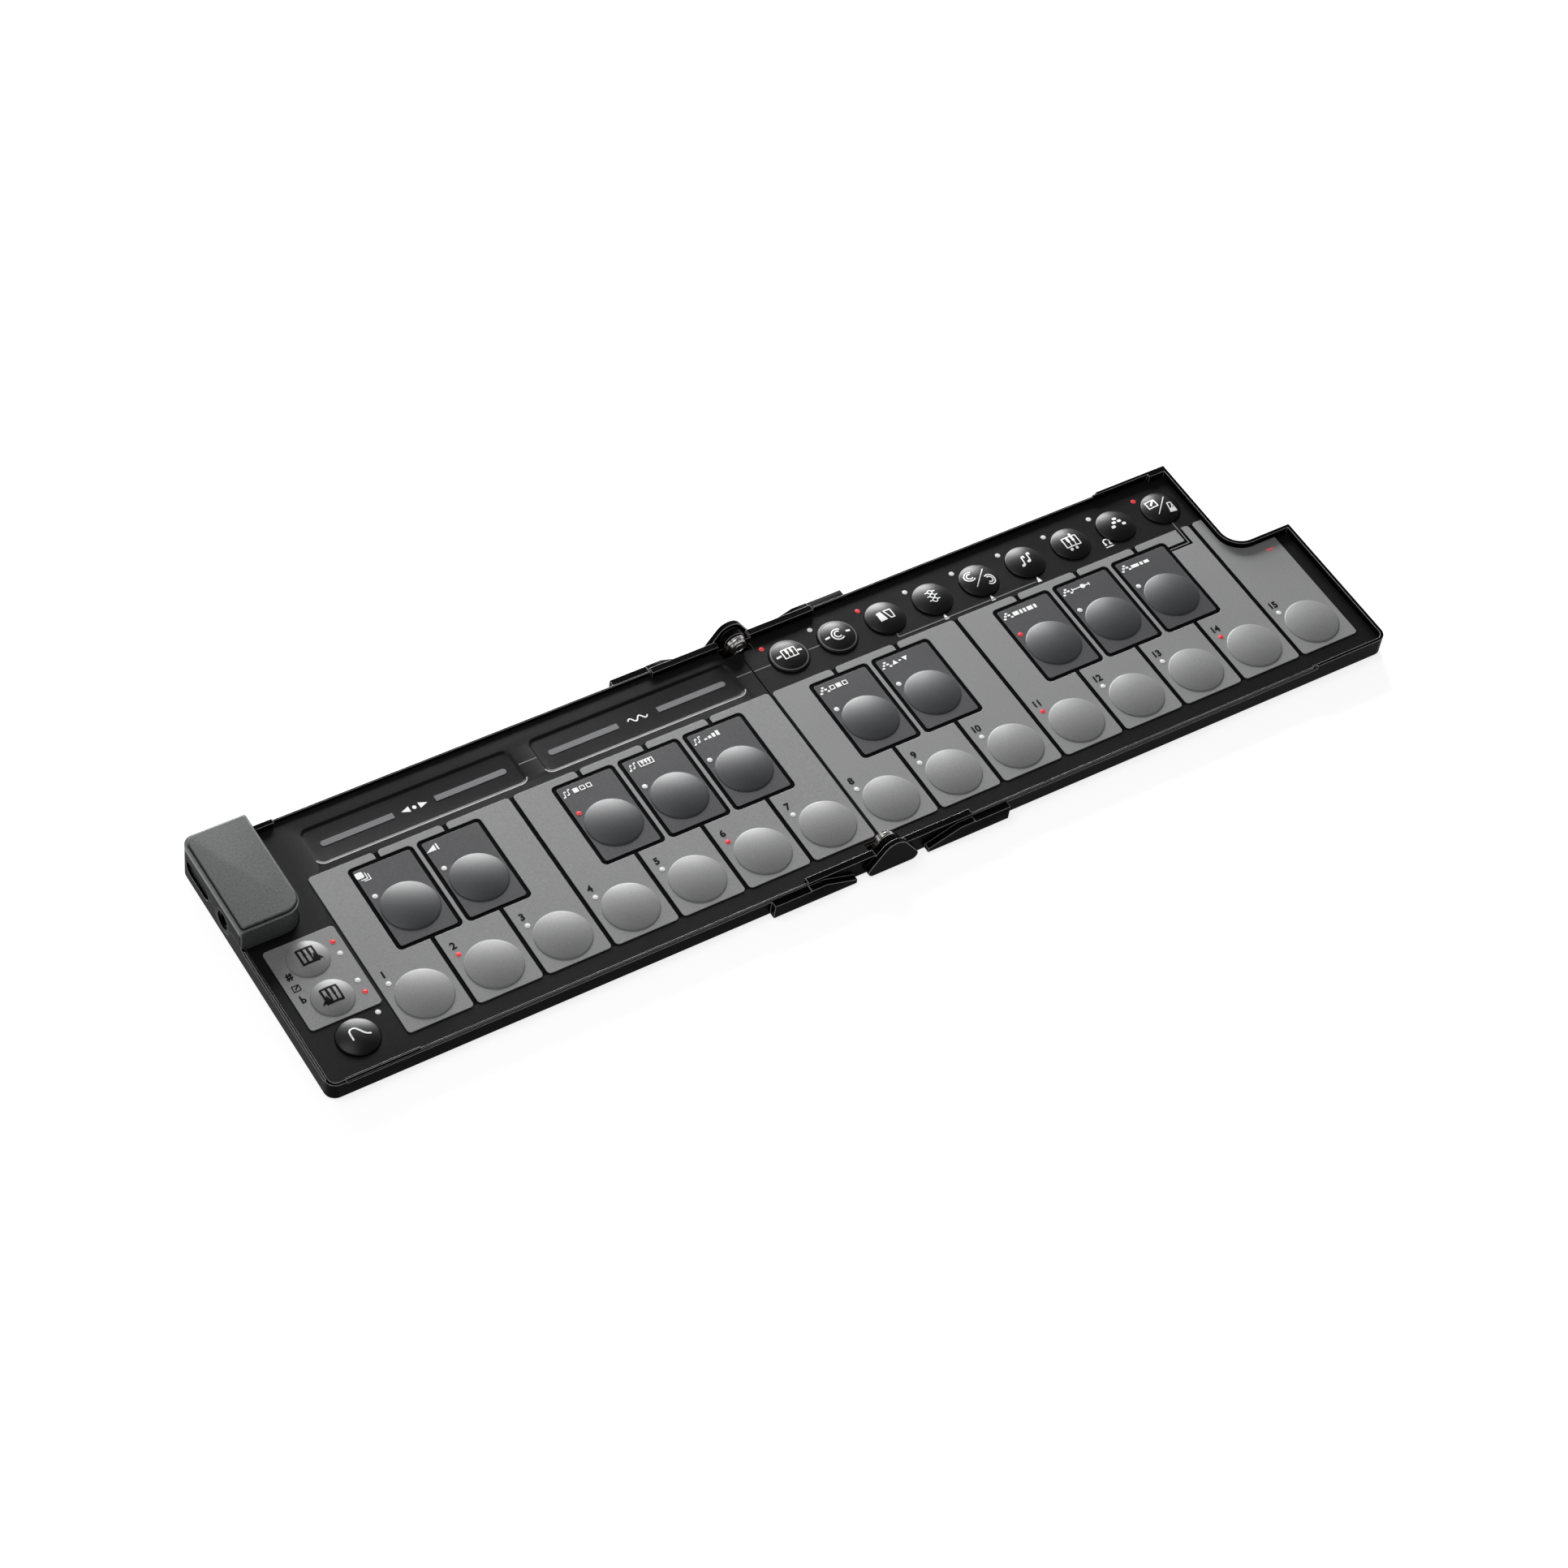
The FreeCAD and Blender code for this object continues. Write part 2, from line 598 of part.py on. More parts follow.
def tray(half):
    """Moulded tray of one half: floor, walls, rims, sheet shoulder, bosses and side tabs."""
    start, length = half.span(size("seam_gap"), size("half_length"))
    case = plate(start, -half_depth, under, length, size("case_depth"), size("case_height"),
                 end_rounds(half, size("corner_radius")))
    end, side, shoulder = size("end_wall"), size("side_wall"), size("sheet_seat")
    sheet_start, sheet_length = half.span(as_size(-2), size("half_length") - end)
    sheet_room = plate(sheet_start, side - half_depth, half.sheet_bottom, sheet_length,
                       size("case_depth") - side * 2, size("case_height") + past,
                       end_rounds(half, size("corner_radius") - end))
    board_start, board_length = half.span(size("seam_gap") + size("fold_wall"),
                                          size("half_length") - end - shoulder)
    board_room = plate(board_start, side + shoulder - half_depth, floor_top, board_length,
                       size("case_depth") - (side + shoulder) * 2, size("case_height") + past,
                       end_rounds(half, as_size(1.0), 1.0))
    hollow = [sheet_room, board_room]
    outline = case
    if half.sign > 0:
        outline = cut(case, [notch_tool(as_size(0), under - 1, high_rim + 1)])
        walls = notch_tool(end, under - 2, high_rim + past * 3)
        seat = notch_tool(end + shoulder, under - 2, half.sheet_bottom)
        hollow = [cut(fuse(hollow), [walls, seat])]
    body = cut(outline, hollow)
    start, length = half.span(size("seam_gap"), size("pocket_width") + size("pocket_wall"))
    depth = size("pocket_length") + size("pocket_wall") - side / 2
    inner = half_depth - size("pocket_length") - size("pocket_wall")
    blocks = [box(start, side_band(way, inner, depth), floor_top - 0.3, length, depth,
                  half.sheet_bottom - floor_top + 0.3) for way in (1, -1)]
    pockets = [hinge_pocket(half, way, under + size("pocket_floor")) for way in (1, -1)]
    body = cut(fuse([body] + blocks), pockets)
    additions = []
    for way in (1, -1):
        inner = half_depth - side - size("rim_block")
        depth = size("rim_block") + side / 2
        start, length = half.span(size("pocket_width"), size("high_rim_start"))
        additions.append(box(start, side_band(way, inner, depth), half.sheet_bottom - 0.4,
                             length, depth, high_rim - half.sheet_bottom + 0.4))
        additions.append(side_tab(half, way))
    start, length = half.span(end_rim_start, notch_start if half.sign > 0 else housing_start)
    additions.append(box(start, half_depth - side - size("rim_block"), half.sheet_bottom - 0.4,
                         length, size("rim_block") + side / 2,
                         high_rim - half.sheet_bottom + 0.4))
    for x, y in screw_places(half):
        additions.append(rod(x, y, under + 0.3, size("boss_radius"),
                             half.board_bottom - under - 0.3))
    if half.sign > 0:
        additions += [right_knuckle(way) for way in (1, -1)]
    body = fuse([body] + additions)
    removed = []
    for way in (1, -1):
        rim_end = end_rim_start
        ledge_far = size("half_length") - size("ledge_inset")
        if half.sign > 0:
            rim_end = notch_start - size("notch_rim_length") if way > 0 else end_rim_start
            ledge_far = rim_end + size("ledge_overrun")
        start, length = half.span(size("high_rim_start"), rim_end)
        removed.append(box(start, side_band(way, MIDDLE + 1, half_depth + past), low_rim,
                           length, half_depth + past, past))
        start, length = half.span(size("high_rim_start"), ledge_far)
        inner = half_depth - size("ledge_width")
        removed.append(box(start, side_band(way, inner, past), ledge, length, past, past))
    for x, y in feet_places(half):
        removed.append(rod(x, y, under - 1, size("foot_radius") + size("foot_clearance"),
                           size("foot_recess") + 1))
    for x, y in screw_places(half):
        removed.append(rod(x, y, half.board_bottom - size("screw_depth") - 0.2,
                           size("screw_hole"), past))
    if half.sign < 0:
        end_start = -size("half_length") - past
        housing_front = half_depth - size("port_depth")
        removed.append(box(end_start, -half_depth - past, low_rim, size("ledge_inset") + past,
                           housing_front + half_depth + past, past))
        ledge_front = size("corner_radius") - half_depth
        removed.append(box(end_start, ledge_front, ledge, size("ledge_width") + past,
                           housing_front - size("ledge_overrun") - ledge_front, past))
        waist = under + size("port_waist")
        removed.append(box(-size("half_length") - past, half_depth - size("port_depth"), waist,
                           size("port_length") + past, size("port_depth") + past, past))
        removed.append(plate(-size("half_length") + size("end_wall"),
                             half_depth - size("port_depth"), floor_top,
                             size("port_length") - size("end_wall"),
                             size("port_depth") - size("side_wall"), past * 2,
                             [0, size("port_corner"), 0, size("corner_radius") - end]))
        removed += port_mouths()
    return cut(body, removed, half.name + "_tray")


def right_knuckle(side):
    """Knuckle of the right tray with its neck; the pocket round it is cut first."""
    outer = half_depth
    length = size("knuckle_length")
    start = side_band(side, outer - length, length)
    ring = rod(MIDDLE, start, axis_height, size("knuckle_radius"), length, "y")
    neck = box(as_size(0.0), start, under + size("pocket_floor") - 0.2, size("pocket_width") + 0.5,
               length, axis_height - under - size("pocket_floor") - 0.6)
    bore = rod(MIDDLE, start - 1, axis_height, size("pin_radius") + size("pin_clearance"),
               length + 2, "y")
    return cut(fuse([ring, neck]), [bore])


def port_mouths():
    """Openings in the left side for the port and the jack."""
    depth = size("port_wall") + 3
    mouth = slot_prism(port_side - 1, usb_y, usb_z, size("usb_mouth_width"),
                       size("usb_mouth_height"), depth)
    hole = rod(port_side - 1, jack_y, jack_z, size("jack_ring") + size("port_gap"), depth, "x")
    return [mouth, hole]


def inner_edge(gap):
    """Inner face of the thick high rims, less a clearance, from the middle."""
    return half_depth - size("side_wall") - size("rim_block") - gap


def sheet_cutters(half, low):
    """Everything that the key sheet of one half leaves open, apart from the pad holes."""
    gap = size("sheet_clearance")
    cutters = [hinge_pocket(half, way, low, gap) for way in (1, -1)]
    for way in (1, -1):
        start, length = half.span(MIDDLE + 1, size("high_rim_start") + gap)
        cutters.append(box(start, side_band(way, inner_edge(gap), past), low, length, past, past))
    start, length = half.span(end_rim_start - gap, size("half_length") + past)
    cutters.append(box(start, inner_edge(gap), low, length, past, past))
    if half.sign > 0:
        cutters.append(notch_tool(size("end_wall") + gap, low, low + past))
    else:
        cutters.append(port_column(size("port_sheet_gap"), low, low + past * 2))
    return cutters


def port_column(grow, low, high):
    """Upright space of the port housing, grown by a margin."""
    corner = size("port_corner") + grow
    return plate(-size("half_length") - past, half_depth - size("port_depth") - grow, low,
                 size("port_length") + past + grow, size("port_depth") + past + grow, high - low,
                 [0, corner, 0, 0])


def press_places():
    """Name, half, centre and radius of every pad and button that can be pressed."""
    found = []
    for number in range(1, LIGHT_KEYS + 1):
        half = left if number <= LEFT_LIGHT_KEYS else right
        x = pitch * (number - 7.5)
        y = key_front + size("light_dome_place")
        found.append(("light_key_%d" % number, half, x, y, size("light_dome_radius")))
    for number, slot in enumerate(DARK_SLOTS, start=1):
        half = left if number <= LEFT_DARK_KEYS else right
        x = pitch * (slot - 7.0)
        y = dark_front + size("dark_dome_place")
        found.append(("dark_key_%d" % number, half, x, y, size("dark_dome_radius")))
    for number in range(1, FUNCTION_BUTTONS + 1):
        x = size("function_first") + function_pitch * (number - 1)
        found.append(("function_button_%d" % number, right, x, function_row, size("button_radius")))
    for number, name in enumerate(("shift_up_button", "shift_down_button", "curve_button")):
        y = -size("shift_row") - size("shift_pitch") * number
        found.append((name, left, -shift_place, y, size("button_radius")))
    return found


PRESSED = press_places()


def pad_holes(half, low, high, margin):
    """Round holes for every pad of one half."""
    return [rod(x, y, low, radius + margin, high - low)
            for name, owner, x, y, radius in PRESSED if owner is half]


def strip_recess(x):
    """Space of one touch strip recess: sloped walls rise outwards from its floor."""
    slope, depth = size("strip_slope"), size("strip_depth")
    tool = plate(x + slope, strip_front + slope, left.surface - depth, strip_length - slope * 2,
                 size("strip_width") - slope * 2, depth * 2, size("strip_corner") - slope)
    pad = tool.Tip
    pad.TaperAngle = math.degrees(math.atan(slope.value / depth.value))
    pad.setExpression("TaperAngle", "atan(%s / %s)" % (slope.text, depth.text))
    return tool


def key_sheet(half):
    """Silicone sheet of one half with pad holes, and the strip recesses on the left."""
    start, length = half.span(size("seam_gap"),
                              size("half_length") - size("end_wall") - size("sheet_clearance"))
    inset = size("side_wall") + size("sheet_clearance")
    blank = plate(start, inset - half_depth, half.sheet_bottom, length,
                  size("case_depth") - inset * 2, size("sheet_thickness"),
                  end_rounds(half, size("corner_radius") - size("end_wall")))
    tools = sheet_cutters(half, half.sheet_bottom - 1)
    tools += pad_holes(half, half.sheet_bottom - 1, half.surface + 1, size("dome_clearance"))
    if half.sign < 0:
        for number in range(2):
            tools.append(strip_recess(strip_pitch * number - strip_end))
    return cut(blank, tools, half.name + "_sheet")


def light_faces(half):
    """Grey faces of the light keys, cut round the dark keys, and the shift panel."""
    numbers = range(1, LIGHT_KEYS + 1)
    own = [n for n in numbers if (n <= LEFT_LIGHT_KEYS) == (half.sign < 0)]
    path_middle = size("function_first") + function_pitch * (FUNCTION_BUTTONS - 1)
    path_side = path_middle - size("path_width") / 2
    faces = []
    for number in own:
        tools = []
        for slot in DARK_SLOTS:
            if slot in (number - 1, number):
                tools.append(plate(pitch * (slot - 7.0) - size("dark_width") / 2,
                                   dark_front, half.surface - 1, size("dark_width"),
                                   dark_reach, past, size("dark_corner")))
        tools.append(rod(pitch * (number - 7.5), key_front + size("light_dome_place"),
                         half.surface - 1, size("light_dome_radius") + size("dome_clearance"),
                         past))
        if number == LIGHT_KEYS - 1:
            dark_side = pitch * (DARK_SLOTS[-1] - 7.0)
            tools.append(box(path_side, path_front, half.surface - 1,
                             size("path_width"), key_reach, past))
            tools.append(box(dark_side, path_front, half.surface - 1,
                             path_side - dark_side + size("path_width"), size("path_width"), past))
        if number == LIGHT_KEYS:
            tools.append(notch_tool(size("end_wall") + size("sheet_clearance"),
                                    half.surface - 1, half.surface + past))
        blank = plate(pitch * (number - 8.0) + size("key_gap") / 2, key_front,
                      half.surface, pitch - size("key_gap"), key_reach,
                      size("pad_thickness"), size("key_corner"))
        faces.append(cut(blank, tools))
    if half.sign < 0:
        holes = [rod(x, y, half.surface - 1, radius + size("dome_clearance"), past)
                 for name, owner, x, y, radius in PRESSED[-3:]]
        panel = plate(size("shift_panel_inset") - size("half_length"),
                      -size("shift_panel_front"), half.surface, size("shift_panel_width"),
                      size("shift_panel_reach"), size("pad_thickness"), size("key_corner"))
        faces.append(cut(panel, holes))
    return group(faces, half.name + "_light_faces")


def dark_faces(half):
    """Dark grey faces inside the black borders of the dark keys."""
    margin = size("dark_margin")
    faces = []
    for number, slot in enumerate(DARK_SLOTS, start=1):
        if (number <= LEFT_DARK_KEYS) != (half.sign < 0):
            continue
        middle = pitch * (slot - 7.0)
        blank = plate(middle - size("dark_width") / 2 + margin, dark_front + margin,
                      half.surface, size("dark_width") - margin * 2,
                      dark_reach - margin * 2, size("pad_thickness"),
                      size("dark_corner") - 0.8)
        hole = rod(middle, dark_front + size("dark_dome_place"), half.surface - 1,
                   size("dark_dome_radius") + size("dome_clearance"), past)
        faces.append(cut(blank, [hole]))
    return group(faces, half.name + "_dark_faces")


def lamps(half):
    """Round indicator windows of one half."""
    spots = []
    for number in range(1, LIGHT_KEYS + 1):
        if (number <= LEFT_LIGHT_KEYS) == (half.sign < 0):
            x = pitch * (number - 8.0) + size("key_gap") / 2 + size("light_lamp_across")
            spots.append((x, key_front + size("light_lamp_along"), half.pad_top))
    for number, slot in enumerate(DARK_SLOTS, start=1):
        if (number <= LEFT_DARK_KEYS) == (half.sign < 0):
            x = pitch * (slot - 7.0) - size("dark_lamp_across")
            spots.append((x, dark_front + size("dark_lamp_along"), half.pad_top))
    if half.sign > 0:
        for number in range(FUNCTION_BUTTONS):
            x = size("function_first") + function_pitch * number
            spots.append((x - size("function_lamp_across"),
                          function_row + size("function_lamp_along"), half.surface))
    else:
        x = size("shift_lamp_inset") - size("half_length")
        for number in range(2):
            y = -size("shift_row") - size("shift_pitch") * number
            for way in (1, -1):
                spots.append((x, y + size("shift_lamp_along") * way, half.pad_top))
        y = -size("shift_row") - size("shift_pitch") * 2 + size("curve_lamp_along")
        spots.append((x, y, half.surface))
    discs = [rod(x, y, z, size("lamp_radius"), size("lamp_height")) for x, y, z in spots]
    return group(discs, half.name + "_lamps")


def circuit_board(half):
    """Board under the key sheet, on its bosses."""
    inset = size("side_wall") + size("board_margin")
    start, length = half.span(size("seam_gap") + size("fold_wall") + 0.4,
                              size("half_length") - size("end_wall") - size("board_margin"))
    blank = plate(start, inset - half_depth, half.board_bottom, length,
                  size("case_depth") - inset * 2, size("board_thickness"), size("key_corner"))
    margin = size("pocket_wall") + 0.4
    tools = [hinge_pocket(half, way, half.board_bottom - 1, margin) for way in (1, -1)]
    tools += [rod(x, y, half.board_bottom - 1, size("screw_hole"), past)
              for x, y in screw_places(half)]
    if half.sign > 0:
        tools.append(notch_tool(size("end_wall") + size("board_margin"),
                                half.board_bottom - 1, half.board_top + 1))
    else:
        tools.append(port_column(as_size(0.4), half.board_bottom - 1, half.board_top + 1))
    return cut(blank, tools, half.name + "_board")


def board_screws(half):
    """Screws that hold the board of one half."""
    screws = []
    for x, y in screw_places(half):
        shank = rod(x, y, half.board_bottom - size("screw_depth"), size("screw_radius"),
                    size("screw_depth") + size("board_thickness"))
        head = rod(x, y, half.board_top, size("screw_head"), size("screw_head_height"))
        screws.append(fuse([shank, head]))
    return group(screws, half.name + "_board_screws")


def feet(half):
    """Rubber feet of one half."""
    pads = []
    for x, y in feet_places(half):
        pads.append(rod(x, y, as_size(0), size("foot_radius"),
                        size("foot_height") + size("foot_recess")))
    return group(pads, half.name + "_feet")


def touch_bars():
    """Two pairs of printed touch bars on the floors of the strip recesses."""
    bars = []
    z = left.surface - size("strip_depth")
    y = strip_front + (size("strip_width") - size("bar_width")) / 2
    big = size("bar_width") / 2 - 0.05
    for number in range(2):
        start = strip_pitch * number - strip_end + size("bar_inset")
        end = start + strip_length - size("bar_inset") * 2 - size("bar_length")
        bars.append(plate(start, y, z, size("bar_length"), size("bar_width"),
                          size("bar_height"), [big, 0, 0, big]))
        bars.append(plate(end, y, z, size("bar_length"), size("bar_width"),
                          size("bar_height"), [0, big, big, 0]))
    return group(bars, "touch_bars")


def slot_prism(x, y, z, width, height, length):
    """A prism along +X with round ends, centred on y and z."""
    straight = width - height
    return fuse([box(x, y - straight / 2, z - height / 2, length, straight, height),
                 rod(x, y - straight / 2, z, height / 2, length, "x"),
                 rod(x, y + straight / 2, z, height / 2, length, "x")])


usb_y = half_depth - size("usb_place")
usb_z = under + size("usb_height")
jack_y = half_depth - size("jack_place")
jack_z = under + size("jack_height")
port_side = -size("half_length")


def port_housing():
    """Raised housing over the sockets: raised top inside a lower border, skirt in the tray."""
    border, corner = size("port_border"), size("port_corner")
    front = half_depth - size("port_depth")
    waist = under + size("port_waist")
    top = under + size("port_height")
    small, outer = size("port_edge"), size("corner_radius")
    rim = plate(port_side, front, waist, size("port_length"), size("port_depth"),
                top - size("port_step") - waist, [small, corner, small, outer])
    lip = size("port_lip")
    crown = plate(port_side + border, front + border, waist,
                  size("port_length") - border - lip, size("port_depth") - border - lip,
                  top - waist, [small, corner - lip * 2, small, outer - lip * 2])
    doc.recompute()
    slab = crown.Tip
    height = (top - waist).value
    edges = []
    for number, edge in enumerate(slab.Shape.Edges, start=1):
        if abs(edge.BoundBox.ZMin - height) < 0.001:
            edges.append("Edge%d" % number)
    soften = crown.newObject("PartDesign::Fillet", "Softened")
    soften.Base = (slab, edges)
    soften.Radius = size("port_soft").value
    bind(soften, "Radius", size("port_soft"))
    gap = size("port_gap")
    inset_x = size("end_wall") + gap
    skirt = plate(port_side + inset_x, front, floor_top, size("port_length") - inset_x,
                  size("port_depth") - size("side_wall") - gap, waist - floor_top + 1,
                  [small, corner, small, size("corner_radius")])
    side = port_side - 1
    tools = [slot_prism(side, usb_y, usb_z, size("usb_mouth_width"), size("usb_mouth_height"),
                        size("usb_inset") + 1),
             slot_prism(side, usb_y, usb_z, size("usb_width") + gap * 2,
                        size("usb_thickness") + gap * 2, size("usb_inset") + size("usb_length") + 1),
             rod(side, jack_y, jack_z, size("jack_ring") + gap, size("jack_collar") + 1, "x"),
             box(port_side + size("jack_collar"), jack_y - size("jack_body") / 2,
                 jack_z - size("jack_body") / 2, size("jack_length") - size("jack_collar"),
                 size("jack_body"), size("jack_body"))]
    return cut(fuse([rim, crown, skirt]), tools, "port_housing")


def usb_socket():
    """Metal shell with round ends, open to the side, and its contact tongue."""
    x = port_side + size("usb_inset")
    skin = size("usb_skin") * 2
    back = size("usb_skin") * 3
    shell = slot_prism(x, usb_y, usb_z, size("usb_width"), size("usb_thickness"),
                       size("usb_length"))
    mouth = slot_prism(x - 1, usb_y, usb_z, size("usb_width") - skin,
                       size("usb_thickness") - skin, size("usb_length") - back + 1)
    tongue_width = size("usb_width") * 0.74
    tongue = box(x + 1.2, usb_y - tongue_width / 2, usb_z - size("usb_tongue") / 2,
                 size("usb_length") - back - 1.0, tongue_width, size("usb_tongue"))
    return fuse([cut(shell, [mouth]), tongue], "usb_socket")


def midi_jack():
    """Square jack body with a round collar and a blind bore."""
    collar = rod(port_side, jack_y, jack_z, size("jack_ring"), size("jack_collar") + 0.5, "x")
    block = box(port_side + size("jack_collar"), jack_y - size("jack_body") / 2,
                jack_z - size("jack_body") / 2, size("jack_length") - size("jack_collar"),
                size("jack_body"), size("jack_body"))
    bore = rod(port_side - 1, jack_y, jack_z, size("jack_bore"), size("jack_depth") + 1, "x")
    lead_in = rod(port_side - 1, jack_y, jack_z, size("jack_bore") + 1.0, as_size(1.4), "x")
    return cut(fuse([collar, block]), [bore, lead_in], "midi_jack")


def cover_outline(y, thickness):
    """Side view of the hinge cover: wide foot, straight flanks, round top over the pin."""
    body = doc.addObject("PartDesign::Body", "Cover")
    sketch = new_sketch(body, "XZ_Plane", "Outline")
    foot, small, big = size("cover_foot"), size("cover_round"), size("cover_radius")
    rise = axis_height - under
    cx, cz = foot.value - small.value, small.value
    reach = math.hypot(cx, rise.value - cz)
    tilt = math.atan2(rise.value - cz, -cx) - math.acos((small.value - big.value) / reach)
    nx, nz = math.cos(tilt), math.sin(tilt)
    up = FreeCAD.Vector(0, 0, 1)

    def point(px, pz):
        return FreeCAD.Vector(px, pz, 0)

    low_right = point(cx + small.value * nx, cz + small.value * nz)
    top_right = point(big.value * nx, rise.value + big.value * nz)
    low_left = point(-low_right.x, low_right.y)
    top_left = point(-top_right.x, top_right.y)
    foot_right = Part.Circle(point(cx, cz), up, small.value)
    foot_left = Part.Circle(point(-cx, cz), up, small.value)
    apex = Part.Circle(point(0, rise.value), up, big.value)
    sketch.addGeometry(Part.LineSegment(point(-cx, 0), point(cx, 0)))
    sketch.addGeometry(Part.ArcOfCircle(foot_right, -math.pi / 2, tilt))
    sketch.addGeometry(Part.LineSegment(low_right, top_right))
    sketch.addGeometry(Part.ArcOfCircle(apex, tilt, math.pi - tilt))
    sketch.addGeometry(Part.LineSegment(top_left, low_left))
    sketch.addGeometry(Part.ArcOfCircle(foot_left, math.pi - tilt, 3 * math.pi / 2))
    for index in range(6):
        sketch.addConstraint(Sketcher.Constraint("Tangent", index, 2, (index + 1) % 6, 1))
    sketch.addConstraint(Sketcher.Constraint("PointOnObject", 0, 1, -1))
    sketch.addConstraint(Sketcher.Constraint("Horizontal", 0))
    sketch.addConstraint(Sketcher.Constraint("PointOnObject", 3, 3, -2))
    constrain(sketch, "Radius", (1,), small, "foot_round_right")
    constrain(sketch, "Radius", (5,), small, "foot_round_left")
    constrain(sketch, "Radius", (3,), big, "apex_round")
    constrain(sketch, "DistanceY", (-1, 1, 3, 3), rise, "pin_height")
    constrain(sketch, "DistanceX", (-1, 1, 1, 3), foot - small, "foot_right")
    constrain(sketch, "DistanceX", (5, 3, -1, 1), foot - small, "foot_left")
    pad = body.newObject("PartDesign::Pad", "Slab")
    pad.Profile = sketch
    pad.Reversed = True
    pad.Length = as_size(thickness).value
    bind(pad, "Length", thickness)
    place(body, 0, y, under)
    return body


def hinge_cover(way):
    """Cover beside the hinge, fixed to the left tray by a pad behind it."""
    gap, thick = size("cover_gap"), size("cover_thickness")
    plate_part = cover_outline(side_band(way, half_depth + gap, thick), thick)
    behind = cover_outline(side_band(way, half_depth, gap + 0.5), gap + 0.5)
    wide = size("cover_foot") + 1
    start = size("pocket_width") + 0.3
    y = side_band(way, half_depth, gap + 0.5)
    tall = box(-wide, y, under, wide - start, gap + 0.5, as_size(12))
    low = box(-wide, y, under, wide - size("cover_pad"), gap + 0.5, size("pocket_floor") - 0.3)
    rest = common(behind, fuse([tall, low]))
    hole = rod(MIDDLE, side_band(way, half_depth + gap - 1, size("pin_reach") + 1), axis_height,
               size("pin_radius") + size("pin_clearance"), size("pin_reach") + 1, "y")
    return cut(fuse([plate_part, rest]), [hole])


def leaf_place():
    """Distance of the inner face of the leaf eye from the middle."""
    return (half_depth - size("knuckle_length") - size("knuckle_gap") - size("leaf_length"))


def hinge_leaf(way):
    """Metal leaf of the left tray: eye round the pin and an arm on the pocket floor."""
    y = side_band(way, leaf_place(), size("leaf_length"))
    length = size("leaf_length")
    floor = under + size("pocket_floor")
    eye = rod(MIDDLE, y, axis_height, size("knuckle_radius"), length, "y")
    reach = size("pocket_width") - 0.2
    arm = box(-reach, y, floor, reach - 0.4, length, size("leaf_thickness") * 2)
    post = box(-reach, y, floor, reach - 1.4, length, axis_height - floor)
    bore = rod(MIDDLE, y - 1, axis_height, size("pin_radius") + size("pin_clearance"),
               length + 2, "y")
    return cut(fuse([eye, arm, post]), [bore])


def hinge_pin(way):
    """Pin through leaf, knuckle and cover, with a polished domed head inside."""
    inner = leaf_place()
    length = half_depth + size("cover_gap") + size("pin_reach") - inner
    shank, head = size("pin_radius"), size("pin_head_radius")
    pin = turned([(0, -length), (shank, -length), (shank, 0), (head, 0),
                  (head, size("pin_head_edge"))], size("pin_head_length"))
    pin.Placement.Rotation = FreeCAD.Rotation(FreeCAD.Vector(1, 0, 0), 90 * way)
    place(pin, 0, inner * way, axis_height)
    return pin


nodes = [port_housing()]
for half in (left, right):
    nodes.append(tray(half))
    nodes.append(key_sheet(half))
    nodes.append(light_faces(half))
    nodes.append(dark_faces(half))
    nodes.append(circuit_board(half))
    nodes.append(board_screws(half))
    nodes.append(feet(half))
    nodes.append(lamps(half))
nodes.append(touch_bars())
nodes.append(usb_socket())
nodes.append(midi_jack())
nodes.append(group(both_sides(hinge_cover), "hinge_covers"))
nodes.append(group(both_sides(hinge_leaf), "hinge_leaves"))
nodes.append(group(both_sides(hinge_pin), "hinge_pins"))
for name, half, x, y, radius in PRESSED:
    nodes.append(press_pad(x, y, half.sheet_bottom, half.surface, radius, name))

doc.recompute()
for thing in doc.Objects:
    if "Invalid" in thing.State or "Error" in thing.State:
        raise RuntimeError("%s %s %s" % (thing.Label, thing.Name, thing.State))
os.makedirs("parts", exist_ok=True)
for node in nodes:
    if node.Shape.isNull() or not node.Shape.isValid():
        raise RuntimeError(node.Label)
    node.Shape.exportStep("parts/%s.step" % node.Label)
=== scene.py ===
"""Looks of the folding keyboard: moulded trays, silicone key sheets, round pads, prints, hinge.

Lengths in this script are millimetres in the keyboard's own frame until a mesh is made:
X from the fold line to the right, Y from the middle to the back, Z up from the table.
"""
import math
import bmesh
import bpy
import numpy as np
from mathutils import Matrix, Vector


